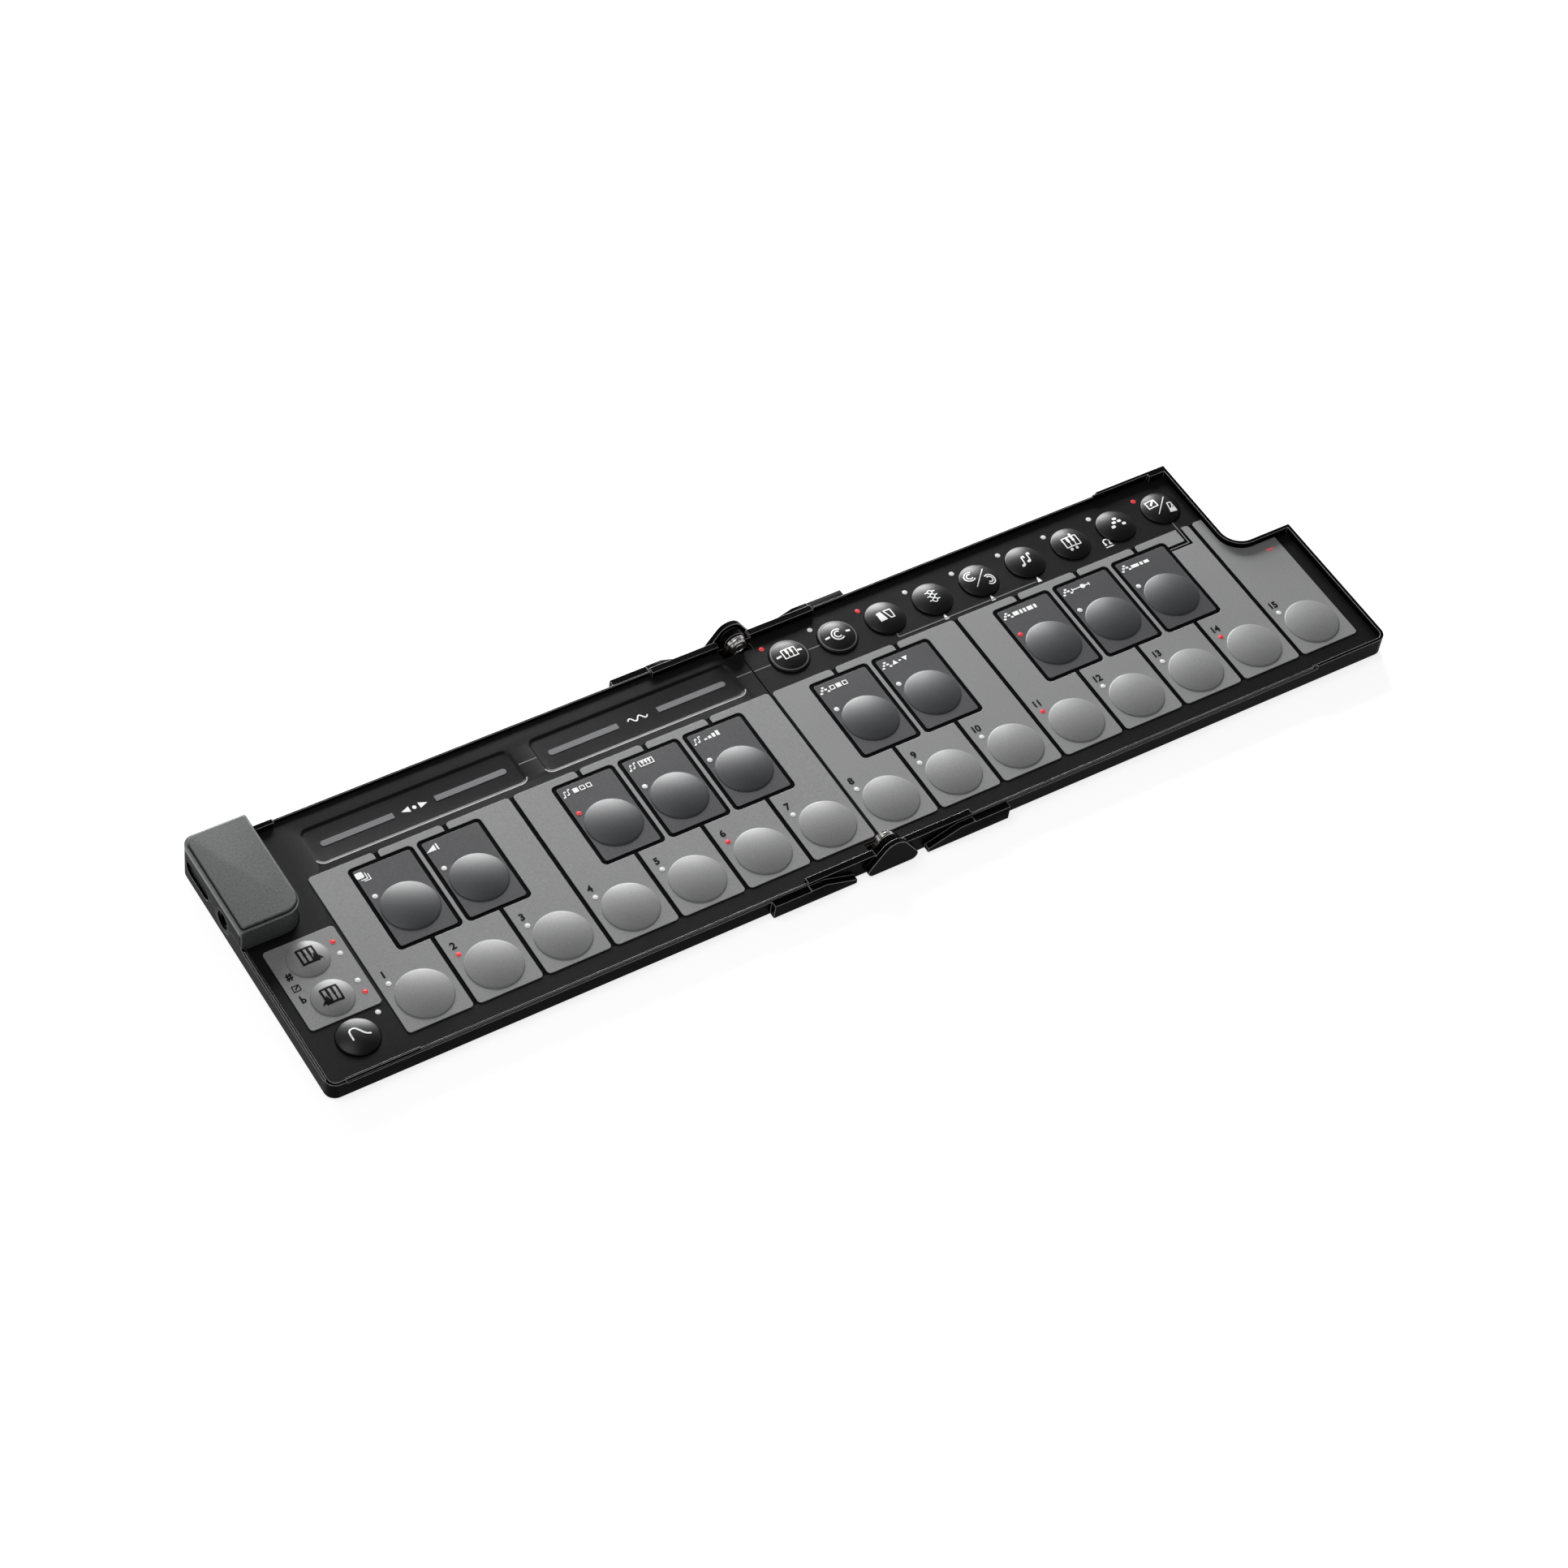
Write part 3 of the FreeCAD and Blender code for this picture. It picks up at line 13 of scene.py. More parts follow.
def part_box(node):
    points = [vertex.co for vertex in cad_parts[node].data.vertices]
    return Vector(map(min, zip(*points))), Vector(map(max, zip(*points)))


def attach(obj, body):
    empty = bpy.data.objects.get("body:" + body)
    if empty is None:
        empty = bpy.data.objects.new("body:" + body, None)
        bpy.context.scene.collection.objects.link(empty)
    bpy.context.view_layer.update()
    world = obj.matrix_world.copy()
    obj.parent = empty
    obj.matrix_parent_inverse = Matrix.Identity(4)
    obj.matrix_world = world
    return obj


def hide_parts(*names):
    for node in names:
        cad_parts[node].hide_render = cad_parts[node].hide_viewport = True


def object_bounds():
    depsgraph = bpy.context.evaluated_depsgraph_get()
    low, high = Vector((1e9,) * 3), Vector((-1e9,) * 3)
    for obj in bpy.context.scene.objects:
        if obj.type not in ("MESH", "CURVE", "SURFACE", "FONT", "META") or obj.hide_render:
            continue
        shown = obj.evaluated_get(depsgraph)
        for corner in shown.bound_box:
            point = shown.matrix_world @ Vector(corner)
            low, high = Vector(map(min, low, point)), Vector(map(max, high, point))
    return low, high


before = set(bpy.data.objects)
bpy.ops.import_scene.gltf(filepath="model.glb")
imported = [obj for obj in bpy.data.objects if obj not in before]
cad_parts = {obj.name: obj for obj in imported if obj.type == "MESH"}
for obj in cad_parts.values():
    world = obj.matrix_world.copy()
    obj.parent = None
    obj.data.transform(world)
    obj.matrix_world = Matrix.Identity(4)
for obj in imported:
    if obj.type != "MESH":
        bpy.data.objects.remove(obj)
cad_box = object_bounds()

MM = 0.001
LEFT = "left_half"
RIGHT = "right_half"


def node_box(name):
    """Lowest and highest corner of a CAD node in millimetres."""
    low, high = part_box(name)
    return np.array(low) / MM, np.array(high) / MM


sheet_top = {LEFT: node_box("left_sheet")[1][2], RIGHT: node_box("right_sheet")[1][2]}
face_top = {LEFT: node_box("left_light_faces")[1][2], RIGHT: node_box("right_light_faces")[1][2]}
half_length = node_box("right_tray")[1][0]
case_back = node_box("right_board")[1][1]

LIGHT_KEYS = 15
LEFT_LIGHT_KEYS = 7
DARK_KEYS = 10
LEFT_DARK_KEYS = 5
FUNCTION_BUTTONS = 9
SHIFT_BUTTONS = ("shift_up_button", "shift_down_button")


def key_half(number, left_count):
    """Body that carries key number N when the first left_count keys are on the left."""
    return LEFT if number <= left_count else RIGHT


def node_middle(name):
    """Middle of a CAD node in X and Y, millimetres."""
    low, high = node_box(name)
    return (low[:2] + high[:2]) / 2


# colours, linear

BLACK_MOULDING = (0.0022, 0.0022, 0.0024)
# The next three greys are painted highlights: for the front edge of the strip recesses, the tray
# bevels and the housing bevels.
RECESS_HIGHLIGHT_GREY = (0.560, 0.560, 0.560)
EDGE_HIGHLIGHT_GREY = (0.280, 0.280, 0.284)
HOUSING_EDGE_HIGHLIGHT = (0.460, 0.464, 0.462)
BLACK_SHEET = (0.0068, 0.0063, 0.0068)
LIGHT_GREY = (0.205, 0.206, 0.208)
LIGHT_PAD = (0.192, 0.193, 0.194)
DARK_GREY = (0.050, 0.050, 0.053)
DARK_PAD = (0.031, 0.032, 0.035)
BLACK_PAD = (0.0022, 0.0022, 0.0023)
HOUSING_GREY = (0.086, 0.089, 0.088)
BAR_GREY = (0.100, 0.100, 0.105)
WHITE_INK = (0.78, 0.78, 0.78)
BLACK_INK = (0.003, 0.003, 0.003)
LINE_GREY = (0.120, 0.120, 0.124)
LAMP_WHITE = (0.60, 0.60, 0.60)
LAMP_RED = (0.60, 0.014, 0.017)
LAMP_ROSE = (0.52, 0.032, 0.038)
STEEL = (0.62, 0.61, 0.59)
BROWN_STEEL = (0.105, 0.078, 0.062)
DARK_STEEL = (0.030, 0.028, 0.027)
BOARD_GREEN = (0.012, 0.060, 0.030)
RUBBER_BLACK = (0.014, 0.014, 0.015)


# shader groups

def new_group(name, inputs, outputs):
    """An empty shader group with these float inputs and these outputs."""
    group = bpy.data.node_groups.new(name, "ShaderNodeTree")
    for label, value in inputs:
        socket = group.interface.new_socket(label, in_out="INPUT", socket_type="NodeSocketFloat")
        socket.default_value = value
    for label, kind in outputs:
        group.interface.new_socket(label, in_out="OUTPUT", socket_type=kind)
    return group


def link(tree, source, target):
    """One wire."""
    tree.links.new(source, target)


def math_node(tree, operation, first, second, clamp=False):
    """A math node whose inputs are sockets or numbers."""
    node = tree.nodes.new("ShaderNodeMath")
    node.operation = operation
    node.use_clamp = clamp
    for socket, value in zip(node.inputs, (first, second)):
        if isinstance(value, (int, float)):
            socket.default_value = value
        else:
            link(tree, value, socket)
    return node.outputs[0]


def noise_node(tree, coordinates, scale, detail, roughness=0.55):
    """A noise texture in Object coordinates."""
    noise = tree.nodes.new("ShaderNodeTexNoise")
    noise.inputs["Detail"].default_value = detail
    noise.inputs["Roughness"].default_value = roughness
    link(tree, coordinates, noise.inputs["Vector"])
    if isinstance(scale, (int, float)):
        noise.inputs["Scale"].default_value = scale
    else:
        link(tree, scale, noise.inputs["Scale"])
    return noise.outputs[0]


def build_grain_group():
    """Fine mould grain: a speckle with a broad cloud over it, as a tone round 1 and a height."""
    group = new_group("mould_grain",
                      [("Grain per metre", 2600.0), ("Speckle", 0.2), ("Cloud", 0.1)],
                      [("Tone", "NodeSocketFloat"), ("Height", "NodeSocketFloat"),
                       ("Wear", "NodeSocketFloat")])
    entry = group.nodes.new("NodeGroupInput")
    leave = group.nodes.new("NodeGroupOutput")
    place = group.nodes.new("ShaderNodeTexCoord").outputs["Object"]
    speckle = noise_node(group, place, entry.outputs["Grain per metre"], 3.0, 0.7)
    cloud = noise_node(group, place, 38.0, 2.0)
    fine = math_node(group, "SUBTRACT", speckle, 0.5)
    broad = math_node(group, "SUBTRACT", cloud, 0.5)
    fine = math_node(group, "MULTIPLY", fine, entry.outputs["Speckle"])
    broad = math_node(group, "MULTIPLY", broad, entry.outputs["Cloud"])
    both = math_node(group, "ADD", fine, broad)
    tone = math_node(group, "ADD", both, 1.0)
    link(group, tone, leave.inputs["Tone"])
    link(group, speckle, leave.inputs["Height"])
    link(group, cloud, leave.inputs["Wear"])
    return group


def build_scuff_group():
    """Faint handling scuffs: stretched noise kept only at its crests, from 0 to 1."""
    group = new_group("handling_scuffs", [("Amount", 0.3)], [("Mask", "NodeSocketFloat")])
    entry = group.nodes.new("NodeGroupInput")
    leave = group.nodes.new("NodeGroupOutput")
    place = group.nodes.new("ShaderNodeTexCoord").outputs["Object"]
    mapping = group.nodes.new("ShaderNodeMapping")
    mapping.inputs["Rotation"].default_value = (0.0, 0.0, math.radians(33))
    mapping.inputs["Scale"].default_value = (55.0, 620.0, 300.0)
    link(group, place, mapping.inputs["Vector"])
    streak = noise_node(group, mapping.outputs[0], 1.0, 3.0, 0.6)
    crest = math_node(group, "SUBTRACT", streak, 0.6, clamp=True)
    crest = math_node(group, "MULTIPLY", crest, 4.0, clamp=True)
    mask = math_node(group, "MULTIPLY", crest, entry.outputs["Amount"])
    link(group, mask, leave.inputs["Mask"])
    return group


def build_field_group():
    """1 inside an upright rectangle of Object coordinates given by its four sides, else 0."""
    sides = ("Left", "Right", "Front", "Back")
    group = new_group("key_field", [(side, 0.0) for side in sides], [("Mask", "NodeSocketFloat")])
    entry = group.nodes.new("NodeGroupInput")
    leave = group.nodes.new("NodeGroupOutput")
    place = group.nodes.new("ShaderNodeTexCoord").outputs["Object"]
    parts = group.nodes.new("ShaderNodeSeparateXYZ")
    link(group, place, parts.inputs[0])
    mask = math_node(group, "GREATER_THAN", parts.outputs["X"], entry.outputs["Left"])
    for operation, axis, side in (("LESS_THAN", "X", "Right"), ("GREATER_THAN", "Y", "Front"),
                                  ("LESS_THAN", "Y", "Back")):
        inside = math_node(group, operation, parts.outputs[axis], entry.outputs[side])
        mask = math_node(group, "MULTIPLY", mask, inside)
    link(group, mask, leave.inputs["Mask"])
    return group


GRAIN = build_grain_group()
SCUFFS = build_scuff_group()
FIELD = build_field_group()


def grained(name, colour, roughness, specular, grain=2600.0, speckle=0.25, cloud=0.12,
            bump=0.02, scuffs=0.15, metallic=0.0, coat=0.0):
    """A moulded or metal finish: grain in the tone and the bump, scuffs in the roughness."""
    material = bpy.data.materials.new(name)
    material.use_nodes = True
    tree = material.node_tree
    shader = tree.nodes["Principled BSDF"]
    shader.inputs["Metallic"].default_value = metallic
    shader.inputs["Specular IOR Level"].default_value = specular
    shader.inputs["Coat Weight"].default_value = coat
    shader.inputs["Coat Roughness"].default_value = 0.12
    grains = tree.nodes.new("ShaderNodeGroup")
    grains.node_tree = GRAIN
    grains.inputs["Grain per metre"].default_value = grain
    grains.inputs["Speckle"].default_value = speckle
    grains.inputs["Cloud"].default_value = cloud
    marks = tree.nodes.new("ShaderNodeGroup")
    marks.node_tree = SCUFFS
    marks.inputs["Amount"].default_value = scuffs
    tint = tree.nodes.new("ShaderNodeVectorMath")
    tint.operation = "SCALE"
    tint.inputs[0].default_value = colour
    link(tree, grains.outputs["Tone"], tint.inputs["Scale"])
    link(tree, tint.outputs[0], shader.inputs["Base Color"])
    rough = math_node(tree, "MULTIPLY_ADD", grains.outputs["Wear"], 0.10)
    rough.node.inputs[2].default_value = roughness - 0.05
    rough = math_node(tree, "SUBTRACT", rough, math_node(tree, "MULTIPLY", marks.outputs[0], 0.25))
    link(tree, rough, shader.inputs["Roughness"])
    if bump:
        relief = tree.nodes.new("ShaderNodeBump")
        relief.inputs["Strength"].default_value = 0.5
        relief.inputs["Distance"].default_value = bump * MM
        link(tree, grains.outputs["Height"], relief.inputs["Height"])
        link(tree, relief.outputs[0], shader.inputs["Normal"])
    return material


def lamp_material(name, colour, outer, glow):
    """A small window that glows: one colour in its middle, another in the ring round it. On a lit
    window the glow is its lamp; on an unlit window it is a painted glow.
    """
    material = grained(name, colour, 0.4, 0.25, grain=5200.0, speckle=0.10, bump=0.0, scuffs=0.0)
    tree = material.node_tree
    shader = tree.nodes["Principled BSDF"]
    reach = tree.nodes.new("ShaderNodeAttribute")
    reach.attribute_name = "reach"
    edge = tree.nodes.new("ShaderNodeMapRange")
    edge.interpolation_type = "SMOOTHSTEP"
    edge.inputs["From Min"].default_value = 0.45
    edge.inputs["From Max"].default_value = 0.70
    link(tree, reach.outputs["Fac"], edge.inputs["Value"])
    blend = tree.nodes.new("ShaderNodeMix")
    blend.data_type = "RGBA"
    blend.inputs["A"].default_value = (*colour, 1.0)
    blend.inputs["B"].default_value = (*outer, 1.0)
    link(tree, edge.outputs[0], blend.inputs["Factor"])
    tint = shader.inputs["Base Color"].links[0].from_node
    link(tree, blend.outputs["Result"], tint.inputs[0])
    link(tree, tint.outputs[0], shader.inputs["Emission Color"])
    shader.inputs["Emission Strength"].default_value = glow
    return material


tray_black = grained("moulded_black_tray", BLACK_MOULDING, 0.32, 0.016, grain=3600.0, speckle=0.8,
                     bump=0.012)
# Light grey on the rounded tray edges: a painted highlight standing for the bright edge reflections of
# the black tray.
tray_bevel_highlight = grained("tray_bevel_painted_highlight", EDGE_HIGHLIGHT_GREY, 0.30, 0.50, grain=3600.0, speckle=0.2, bump=0.0)
# Light grey on the rounded housing edges: a painted highlight standing for the bright edge lines of
# the housing.
housing_bevel_highlight = grained("housing_bevel_painted_highlight", HOUSING_EDGE_HIGHLIGHT, 0.34, 0.50, grain=1900.0, speckle=0.5,
                       bump=0.0)
sheet_finish = {side: grained(side + "_black_key_sheet", BLACK_SHEET, 0.38, 0.115, grain=3300.0,
                              speckle=2.4, cloud=0.25, bump=0.055, scuffs=0.10)
                for side in ("left", "right")}


def darken_field(material, low, high):
    """Makes a sheet blacker and smoother inside the field that its key faces cover."""
    tree = material.node_tree
    shader = tree.nodes["Principled BSDF"]
    field = tree.nodes.new("ShaderNodeGroup")
    field.node_tree = FIELD
    limits = (low[0] + 0.3, high[0] - 0.3, low[1] + 0.3, high[1] - 0.3)
    for side, limit in zip(("Left", "Right", "Front", "Back"), limits):
        field.inputs[side].default_value = limit * MM
    tint = shader.inputs["Base Color"].links[0].from_node
    tone = tint.inputs["Scale"].links[0].from_socket
    dim = math_node(tree, "MULTIPLY_ADD", field.outputs["Mask"], -0.72)
    dim.node.inputs[2].default_value = 1.0
    link(tree, math_node(tree, "MULTIPLY", tone, dim), tint.inputs["Scale"])
    rough = shader.inputs["Roughness"].links[0].from_socket
    calm = math_node(tree, "MULTIPLY_ADD", field.outputs["Mask"], -0.16)
    link(tree, rough, calm.node.inputs[2])
    link(tree, calm, shader.inputs["Roughness"])


def darken_socket_wall(material, wall, level):
    """Paints shade on the housing: black on its socket side below a level, standing for its unlit
    side; one step in X and one in Z.
    """
    tree = material.node_tree
    shader = tree.nodes["Principled BSDF"]
    place = tree.nodes.new("ShaderNodeTexCoord").outputs["Object"]
    parts = tree.nodes.new("ShaderNodeSeparateXYZ")
    link(tree, place, parts.inputs[0])
    at_wall = math_node(tree, "LESS_THAN", parts.outputs["X"], (wall + 0.12) * MM)
    below = math_node(tree, "LESS_THAN", parts.outputs["Z"], level * MM)
    inside = math_node(tree, "MULTIPLY", at_wall, below)
    tint = shader.inputs["Base Color"].links[0].from_node
    tone = tint.inputs["Scale"].links[0].from_socket
    dim = math_node(tree, "MULTIPLY_ADD", inside, -0.96)
    dim.node.inputs[2].default_value = 1.0
    link(tree, math_node(tree, "MULTIPLY", tone, dim), tint.inputs["Scale"])
    level = shader.inputs["Specular IOR Level"]
    link(tree, math_node(tree, "MULTIPLY", dim, level.default_value), level)


light_print = grained("light_grey_key_face", LIGHT_GREY, 0.42, 0.30, grain=2900.0, speckle=0.85,
                      cloud=0.06, bump=0.015, scuffs=0.12)
dark_print = grained("dark_grey_key_face", DARK_GREY, 0.42, 0.30, grain=2900.0, speckle=1.50,
                     cloud=0.10, bump=0.015, scuffs=0.12)
light_silicone = grained("light_grey_pad", LIGHT_PAD, 0.44, 0.30, grain=2900.0, speckle=0.75,
                         cloud=0.05, bump=0.012, scuffs=0.15)
dark_silicone = grained("dark_grey_pad", DARK_PAD, 0.44, 0.45, grain=2900.0, speckle=1.20,
                        cloud=0.08, bump=0.012, scuffs=0.15)
black_silicone = grained("black_button_pad", BLACK_PAD, 0.37, 0.25, grain=2900.0, speckle=0.5,
                         bump=0.010, scuffs=0.15)
housing_grey = grained("grey_port_housing", HOUSING_GREY, 0.36, 0.42, grain=1700.0, speckle=1.5,
                       cloud=0.20, bump=0.07, scuffs=0.15)
# The socket side of the housing is painted black below a level: painted shade of its unlit side.
wall = node_box("port_housing")[0][0]
darken_socket_wall(housing_grey, wall, node_box("port_housing")[1][2] - 2.1)
bar_print = grained("grey_touch_bar", BAR_GREY, 0.48, 0.45, speckle=0.18, bump=0.0)
# A light grey line along the front edges of the strip recesses: a painted highlight.
recess_highlight_finish = grained("recess_painted_highlight", RECESS_HIGHLIGHT_GREY, 0.28, 0.60, grain=3600.0, speckle=0.4, bump=0.0)
white_ink = grained("white_print", WHITE_INK, 0.55, 0.35, grain=4200.0, speckle=0.10, bump=0.0,
                    scuffs=0.0)
black_ink = grained("black_print", BLACK_INK, 0.70, 0.06, grain=4200.0, speckle=0.30, bump=0.0,
                    scuffs=0.0)
line_ink = grained("grey_print", LINE_GREY, 0.55, 0.35, grain=4200.0, speckle=0.15, bump=0.0,
                   scuffs=0.0)
red_ink = grained("red_print", (0.80, 0.13, 0.12), 0.55, 0.35, speckle=0.10, bump=0.0, scuffs=0.0)
# The unlit white windows glow faintly although no lamp behind them is lit: painted light.
white_window_painted_glow = lamp_material("unlit_window_painted_glow", LAMP_WHITE, (0.58, 0.58, 0.58), 0.15)
red_lamp = lamp_material("red_window", LAMP_RED, LAMP_ROSE, 0.34)
steel = grained("polished_steel", STEEL, 0.20, 0.50, grain=900.0, speckle=0.06, bump=0.003,
                scuffs=0.35, metallic=1.0)
socket_steel = grained("stamped_steel", STEEL, 0.32, 0.50, grain=1500.0, speckle=0.10, bump=0.004,
                       scuffs=0.3, metallic=1.0)
leaf_steel = grained("brown_leaf_steel", BROWN_STEEL, 0.32, 0.50, grain=1300.0, speckle=0.25,
                     bump=0.006, scuffs=0.35, metallic=1.0)
# A black strip at the foot of the housing's raised top: painted shade in the step.
step_shade_black = grained("dark_step_shade_line", BLACK_INK, 0.60, 0.10, speckle=0.2, bump=0.0, scuffs=0.0)
board_green = grained("board_laminate", BOARD_GREEN, 0.42, 0.50, grain=800.0, speckle=0.20)
rubber = grained("foot_rubber", RUBBER_BLACK, 0.80, 0.35, grain=1800.0, speckle=0.35, bump=0.05,
                 scuffs=0.0)
jack_black = grained("jack_plastic", BLACK_MOULDING, 0.30, 0.03, speckle=0.2, bump=0.004)


# pieces

def new_piece(name, points, faces, material, body, hides=()):
    """A mesh piece from millimetre points: it rides on a body and may stand for CAD nodes."""
    mesh = bpy.data.meshes.new(name)
    mesh.from_pydata((np.asarray(points, float) * MM).tolist(), [], faces)
    mesh.polygons.foreach_set("use_smooth", np.ones(len(mesh.polygons), bool))
    mesh.set_sharp_from_angle(angle=math.radians(38))
    mesh.materials.append(material)
    piece = bpy.data.objects.new(name, mesh)
    bpy.context.scene.collection.objects.link(piece)
    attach(piece, body)
    if hides:
        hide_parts(*hides)
    return piece


def softened(node, width, material, body, segments=2, angle=32, edge=None):
    """A copy of a CAD node, doubles merged and flat faces joined, with rounded edges that may carry a
    second, lighter colour: a painted highlight.
    """
    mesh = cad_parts[node].data.copy()
    mesh.name = node + "_look"
    work = bmesh.new()
    work.from_mesh(mesh)
    bmesh.ops.remove_doubles(work, verts=work.verts[:], dist=0.0015 * MM)
    bmesh.ops.dissolve_degenerate(work, dist=0.003 * MM, edges=work.edges[:])
    bmesh.ops.dissolve_limit(work, angle_limit=math.radians(0.4), verts=work.verts[:],
                             edges=work.edges[:])
    work.to_mesh(mesh)
    work.free()
    mesh.materials.clear()
    mesh.materials.append(material)
    mesh.polygons.foreach_set("use_smooth", np.ones(len(mesh.polygons), bool))
    mesh.polygons.foreach_set("material_index", np.zeros(len(mesh.polygons), np.int32))
    mesh.set_sharp_from_angle(angle=math.radians(angle))
    piece = bpy.data.objects.new(node + "_look", mesh)
    bpy.context.scene.collection.objects.link(piece)
    bevel = piece.modifiers.new("edge_round", "BEVEL")
    bevel.width = width * MM
    bevel.segments = segments
    bevel.limit_method = "ANGLE"
    bevel.angle_limit = math.radians(angle)
    bevel.harden_normals = True
    bevel.use_clamp_overlap = True
    if edge:
        mesh.materials.append(edge)
        bevel.material = 1
    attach(piece, body)
    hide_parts(node)
    return piece


def dressed(node, material):
    """The CAD node itself in a finish of its own."""
    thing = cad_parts[node]
    thing.data.materials.clear()
    thing.data.materials.append(material)


def turned_arrays(profile, segments):
    """A closed turned surface: profile points (radius, height) carried round Z.

    The first and last profile point lie on the axis and become single poles. Point (i, j) is
    radius i times the unit circle at angle j, at height i.
    """
    profile = np.asarray(profile, float)
    rings = profile[1:-1]
    angle = np.linspace(0, 2 * math.pi, segments, endpoint=False)
    x = rings[:, 0:1] * np.cos(angle)
    y = rings[:, 0:1] * np.sin(angle)
    z = np.repeat(rings[:, 1:2], segments, axis=1)
    body = np.stack([x, y, z], axis=-1).reshape(-1, 3)
    poles = np.array([[0, 0, profile[0, 1]], [0, 0, profile[-1, 1]]])
    points = np.vstack([body, poles])
    count = len(rings)
    index = np.arange(count * segments).reshape(count, segments)
    after = np.roll(index, -1, axis=1)
    quads = np.stack([index[:-1], after[:-1], after[1:], index[1:]], axis=-1).reshape(-1, 4)
    low = np.full(segments, count * segments)
    first = np.stack([after[0], index[0], low], axis=-1)
    last = np.stack([index[-1], after[-1], low + 1], axis=-1)
    return points, quads.tolist() + first.tolist() + last.tolist()


def band_arrays(section, segments):
    """A closed ring surface: a closed section (radius, height) carried round Z."""
    section = np.asarray(section, float)
    angle = np.linspace(0, 2 * math.pi, segments, endpoint=False)
    x = section[:, 0:1] * np.cos(angle)
    y = section[:, 0:1] * np.sin(angle)
    z = np.repeat(section[:, 1:2], segments, axis=1)
    index = np.arange(len(section) * segments).reshape(len(section), segments)
    around = np.roll(index, -1, axis=1)
    above, above_around = np.roll(index, -1, axis=0), np.roll(around, -1, axis=0)
    quads = np.stack([index, around, above_around, above], axis=-1).reshape(-1, 4)
    return np.stack([x, y, z], axis=-1).reshape(-1, 3), quads


def crown_height(distance, radius, side, crown):
    """Height of a round crown that falls from crown in the middle to side at its radius."""
    drop = crown - side
    reach = (radius * radius + drop * drop) / (2 * drop)
    return crown - reach + np.sqrt(reach * reach - np.square(distance))


PAD_SIDE = 0.30
PAD_SHOULDER = 0.40
PAD_SHOULDER_RISE = 0.30
PAD_CROWN = 1.60
PAD_FLANGE = 0.6
FLANGE_THICKNESS = 0.35
SHEET_THICKNESS = 0.8


def pad_top(distance, radius):
    """Height of a pad above its sheet at a distance from its middle, inside its shoulder."""
    inner = radius - PAD_SHOULDER
    return crown_height(np.minimum(distance, inner), inner, PAD_SIDE + PAD_SHOULDER_RISE, PAD_CROWN)


def pad_profile(radius):
    """Section of a pad from the middle of its underside to the middle of its crown.

    The shoulder is part of an ellipse, upright at the side of the pad. It ends with the slope of
    the crown, a shallow round arc: with slope s and rise to width k, cos(end) is s / (k - s).
    """
    inner = radius - PAD_SHOULDER
    drop = PAD_CROWN - PAD_SIDE - PAD_SHOULDER_RISE
    slope = 2 * inner * drop / (inner * inner - drop * drop)
    end = math.acos(slope / (PAD_SHOULDER_RISE / PAD_SHOULDER - slope))
    across = PAD_SHOULDER / (1 - math.cos(end))
    tall = PAD_SHOULDER_RISE / math.sin(end)
    turn = np.linspace(0, end, 9)[:-1]
    shoulder = np.stack([radius - across * (1 - np.cos(turn)), PAD_SIDE + tall * np.sin(turn)],
                        axis=-1)
    across = np.linspace(inner, 0, 15)
    crown = np.stack([across, pad_top(across, radius)], axis=-1)
    foot = -SHEET_THICKNESS
    low = [(0, foot - FLANGE_THICKNESS), (radius * 0.6, foot - FLANGE_THICKNESS),
           (radius + PAD_FLANGE, foot - FLANGE_THICKNESS), (radius + PAD_FLANGE, foot),
           (radius, foot)]
    return np.vstack([low, shoulder, crown])


PAD_SEGMENTS = 96


def pad_piece(node, body_half, material):
    """A round pad in place of its CAD node, centred on it and standing on its sheet."""
    low, high = node_box(node)
    middle = (low + high) / 2
    radius = (high[0] - low[0]) / 2 - PAD_FLANGE
    points, faces = turned_arrays(pad_profile(radius), PAD_SEGMENTS)
    points = points + np.array([middle[0], middle[1], sheet_top[body_half]])
    return new_piece(node + "_look", points, faces, material, node, hides=(node,))


for number in range(1, LIGHT_KEYS + 1):
    pad_piece("light_key_%d" % number, key_half(number, LEFT_LIGHT_KEYS), light_silicone)
for number in range(1, DARK_KEYS + 1):
    pad_piece("dark_key_%d" % number, key_half(number, LEFT_DARK_KEYS), dark_silicone)
for number in range(1, FUNCTION_BUTTONS + 1):
    pad_piece("function_button_%d" % number, RIGHT, black_silicone)
for name in SHIFT_BUTTONS:
    pad_piece(name, LEFT, light_silicone)
pad_piece("curve_button", LEFT, black_silicone)

LIP_OUTER = 0.42
LIP_INNER = 0.008
LIP_RISE = 0.03


def lip_pieces(name, nodes, material, body_half, level):
    """Fillets of the sheet round its pads: each rises like a quarter of a circle to its pad.

    The section is a closed band: outer foot, curve up to the pad, down the hole, and back.
    """
    turn = np.linspace(0, math.pi / 2, 7)
    width = LIP_OUTER - LIP_INNER
    curve = np.stack([LIP_OUTER - width * np.sin(turn), LIP_RISE * (1 - np.cos(turn))], axis=-1)
    section = np.vstack([[LIP_OUTER, -0.05], curve, [LIP_INNER, -0.22], [0.14, -0.22], [0.14, -0.05]])
    points = []
    faces = []
    for node in nodes:
        low, high = node_box(node)
        middle = (low + high) / 2
        radius = (high[0] - low[0]) / 2 - PAD_FLANGE
        lip, quads = band_arrays(section + [radius, level], PAD_SEGMENTS)
        faces += (quads + len(points) * len(lip)).tolist()
        points.append(lip + [middle[0], middle[1], 0])
    new_piece(name, np.vstack(points), faces, material, body_half)


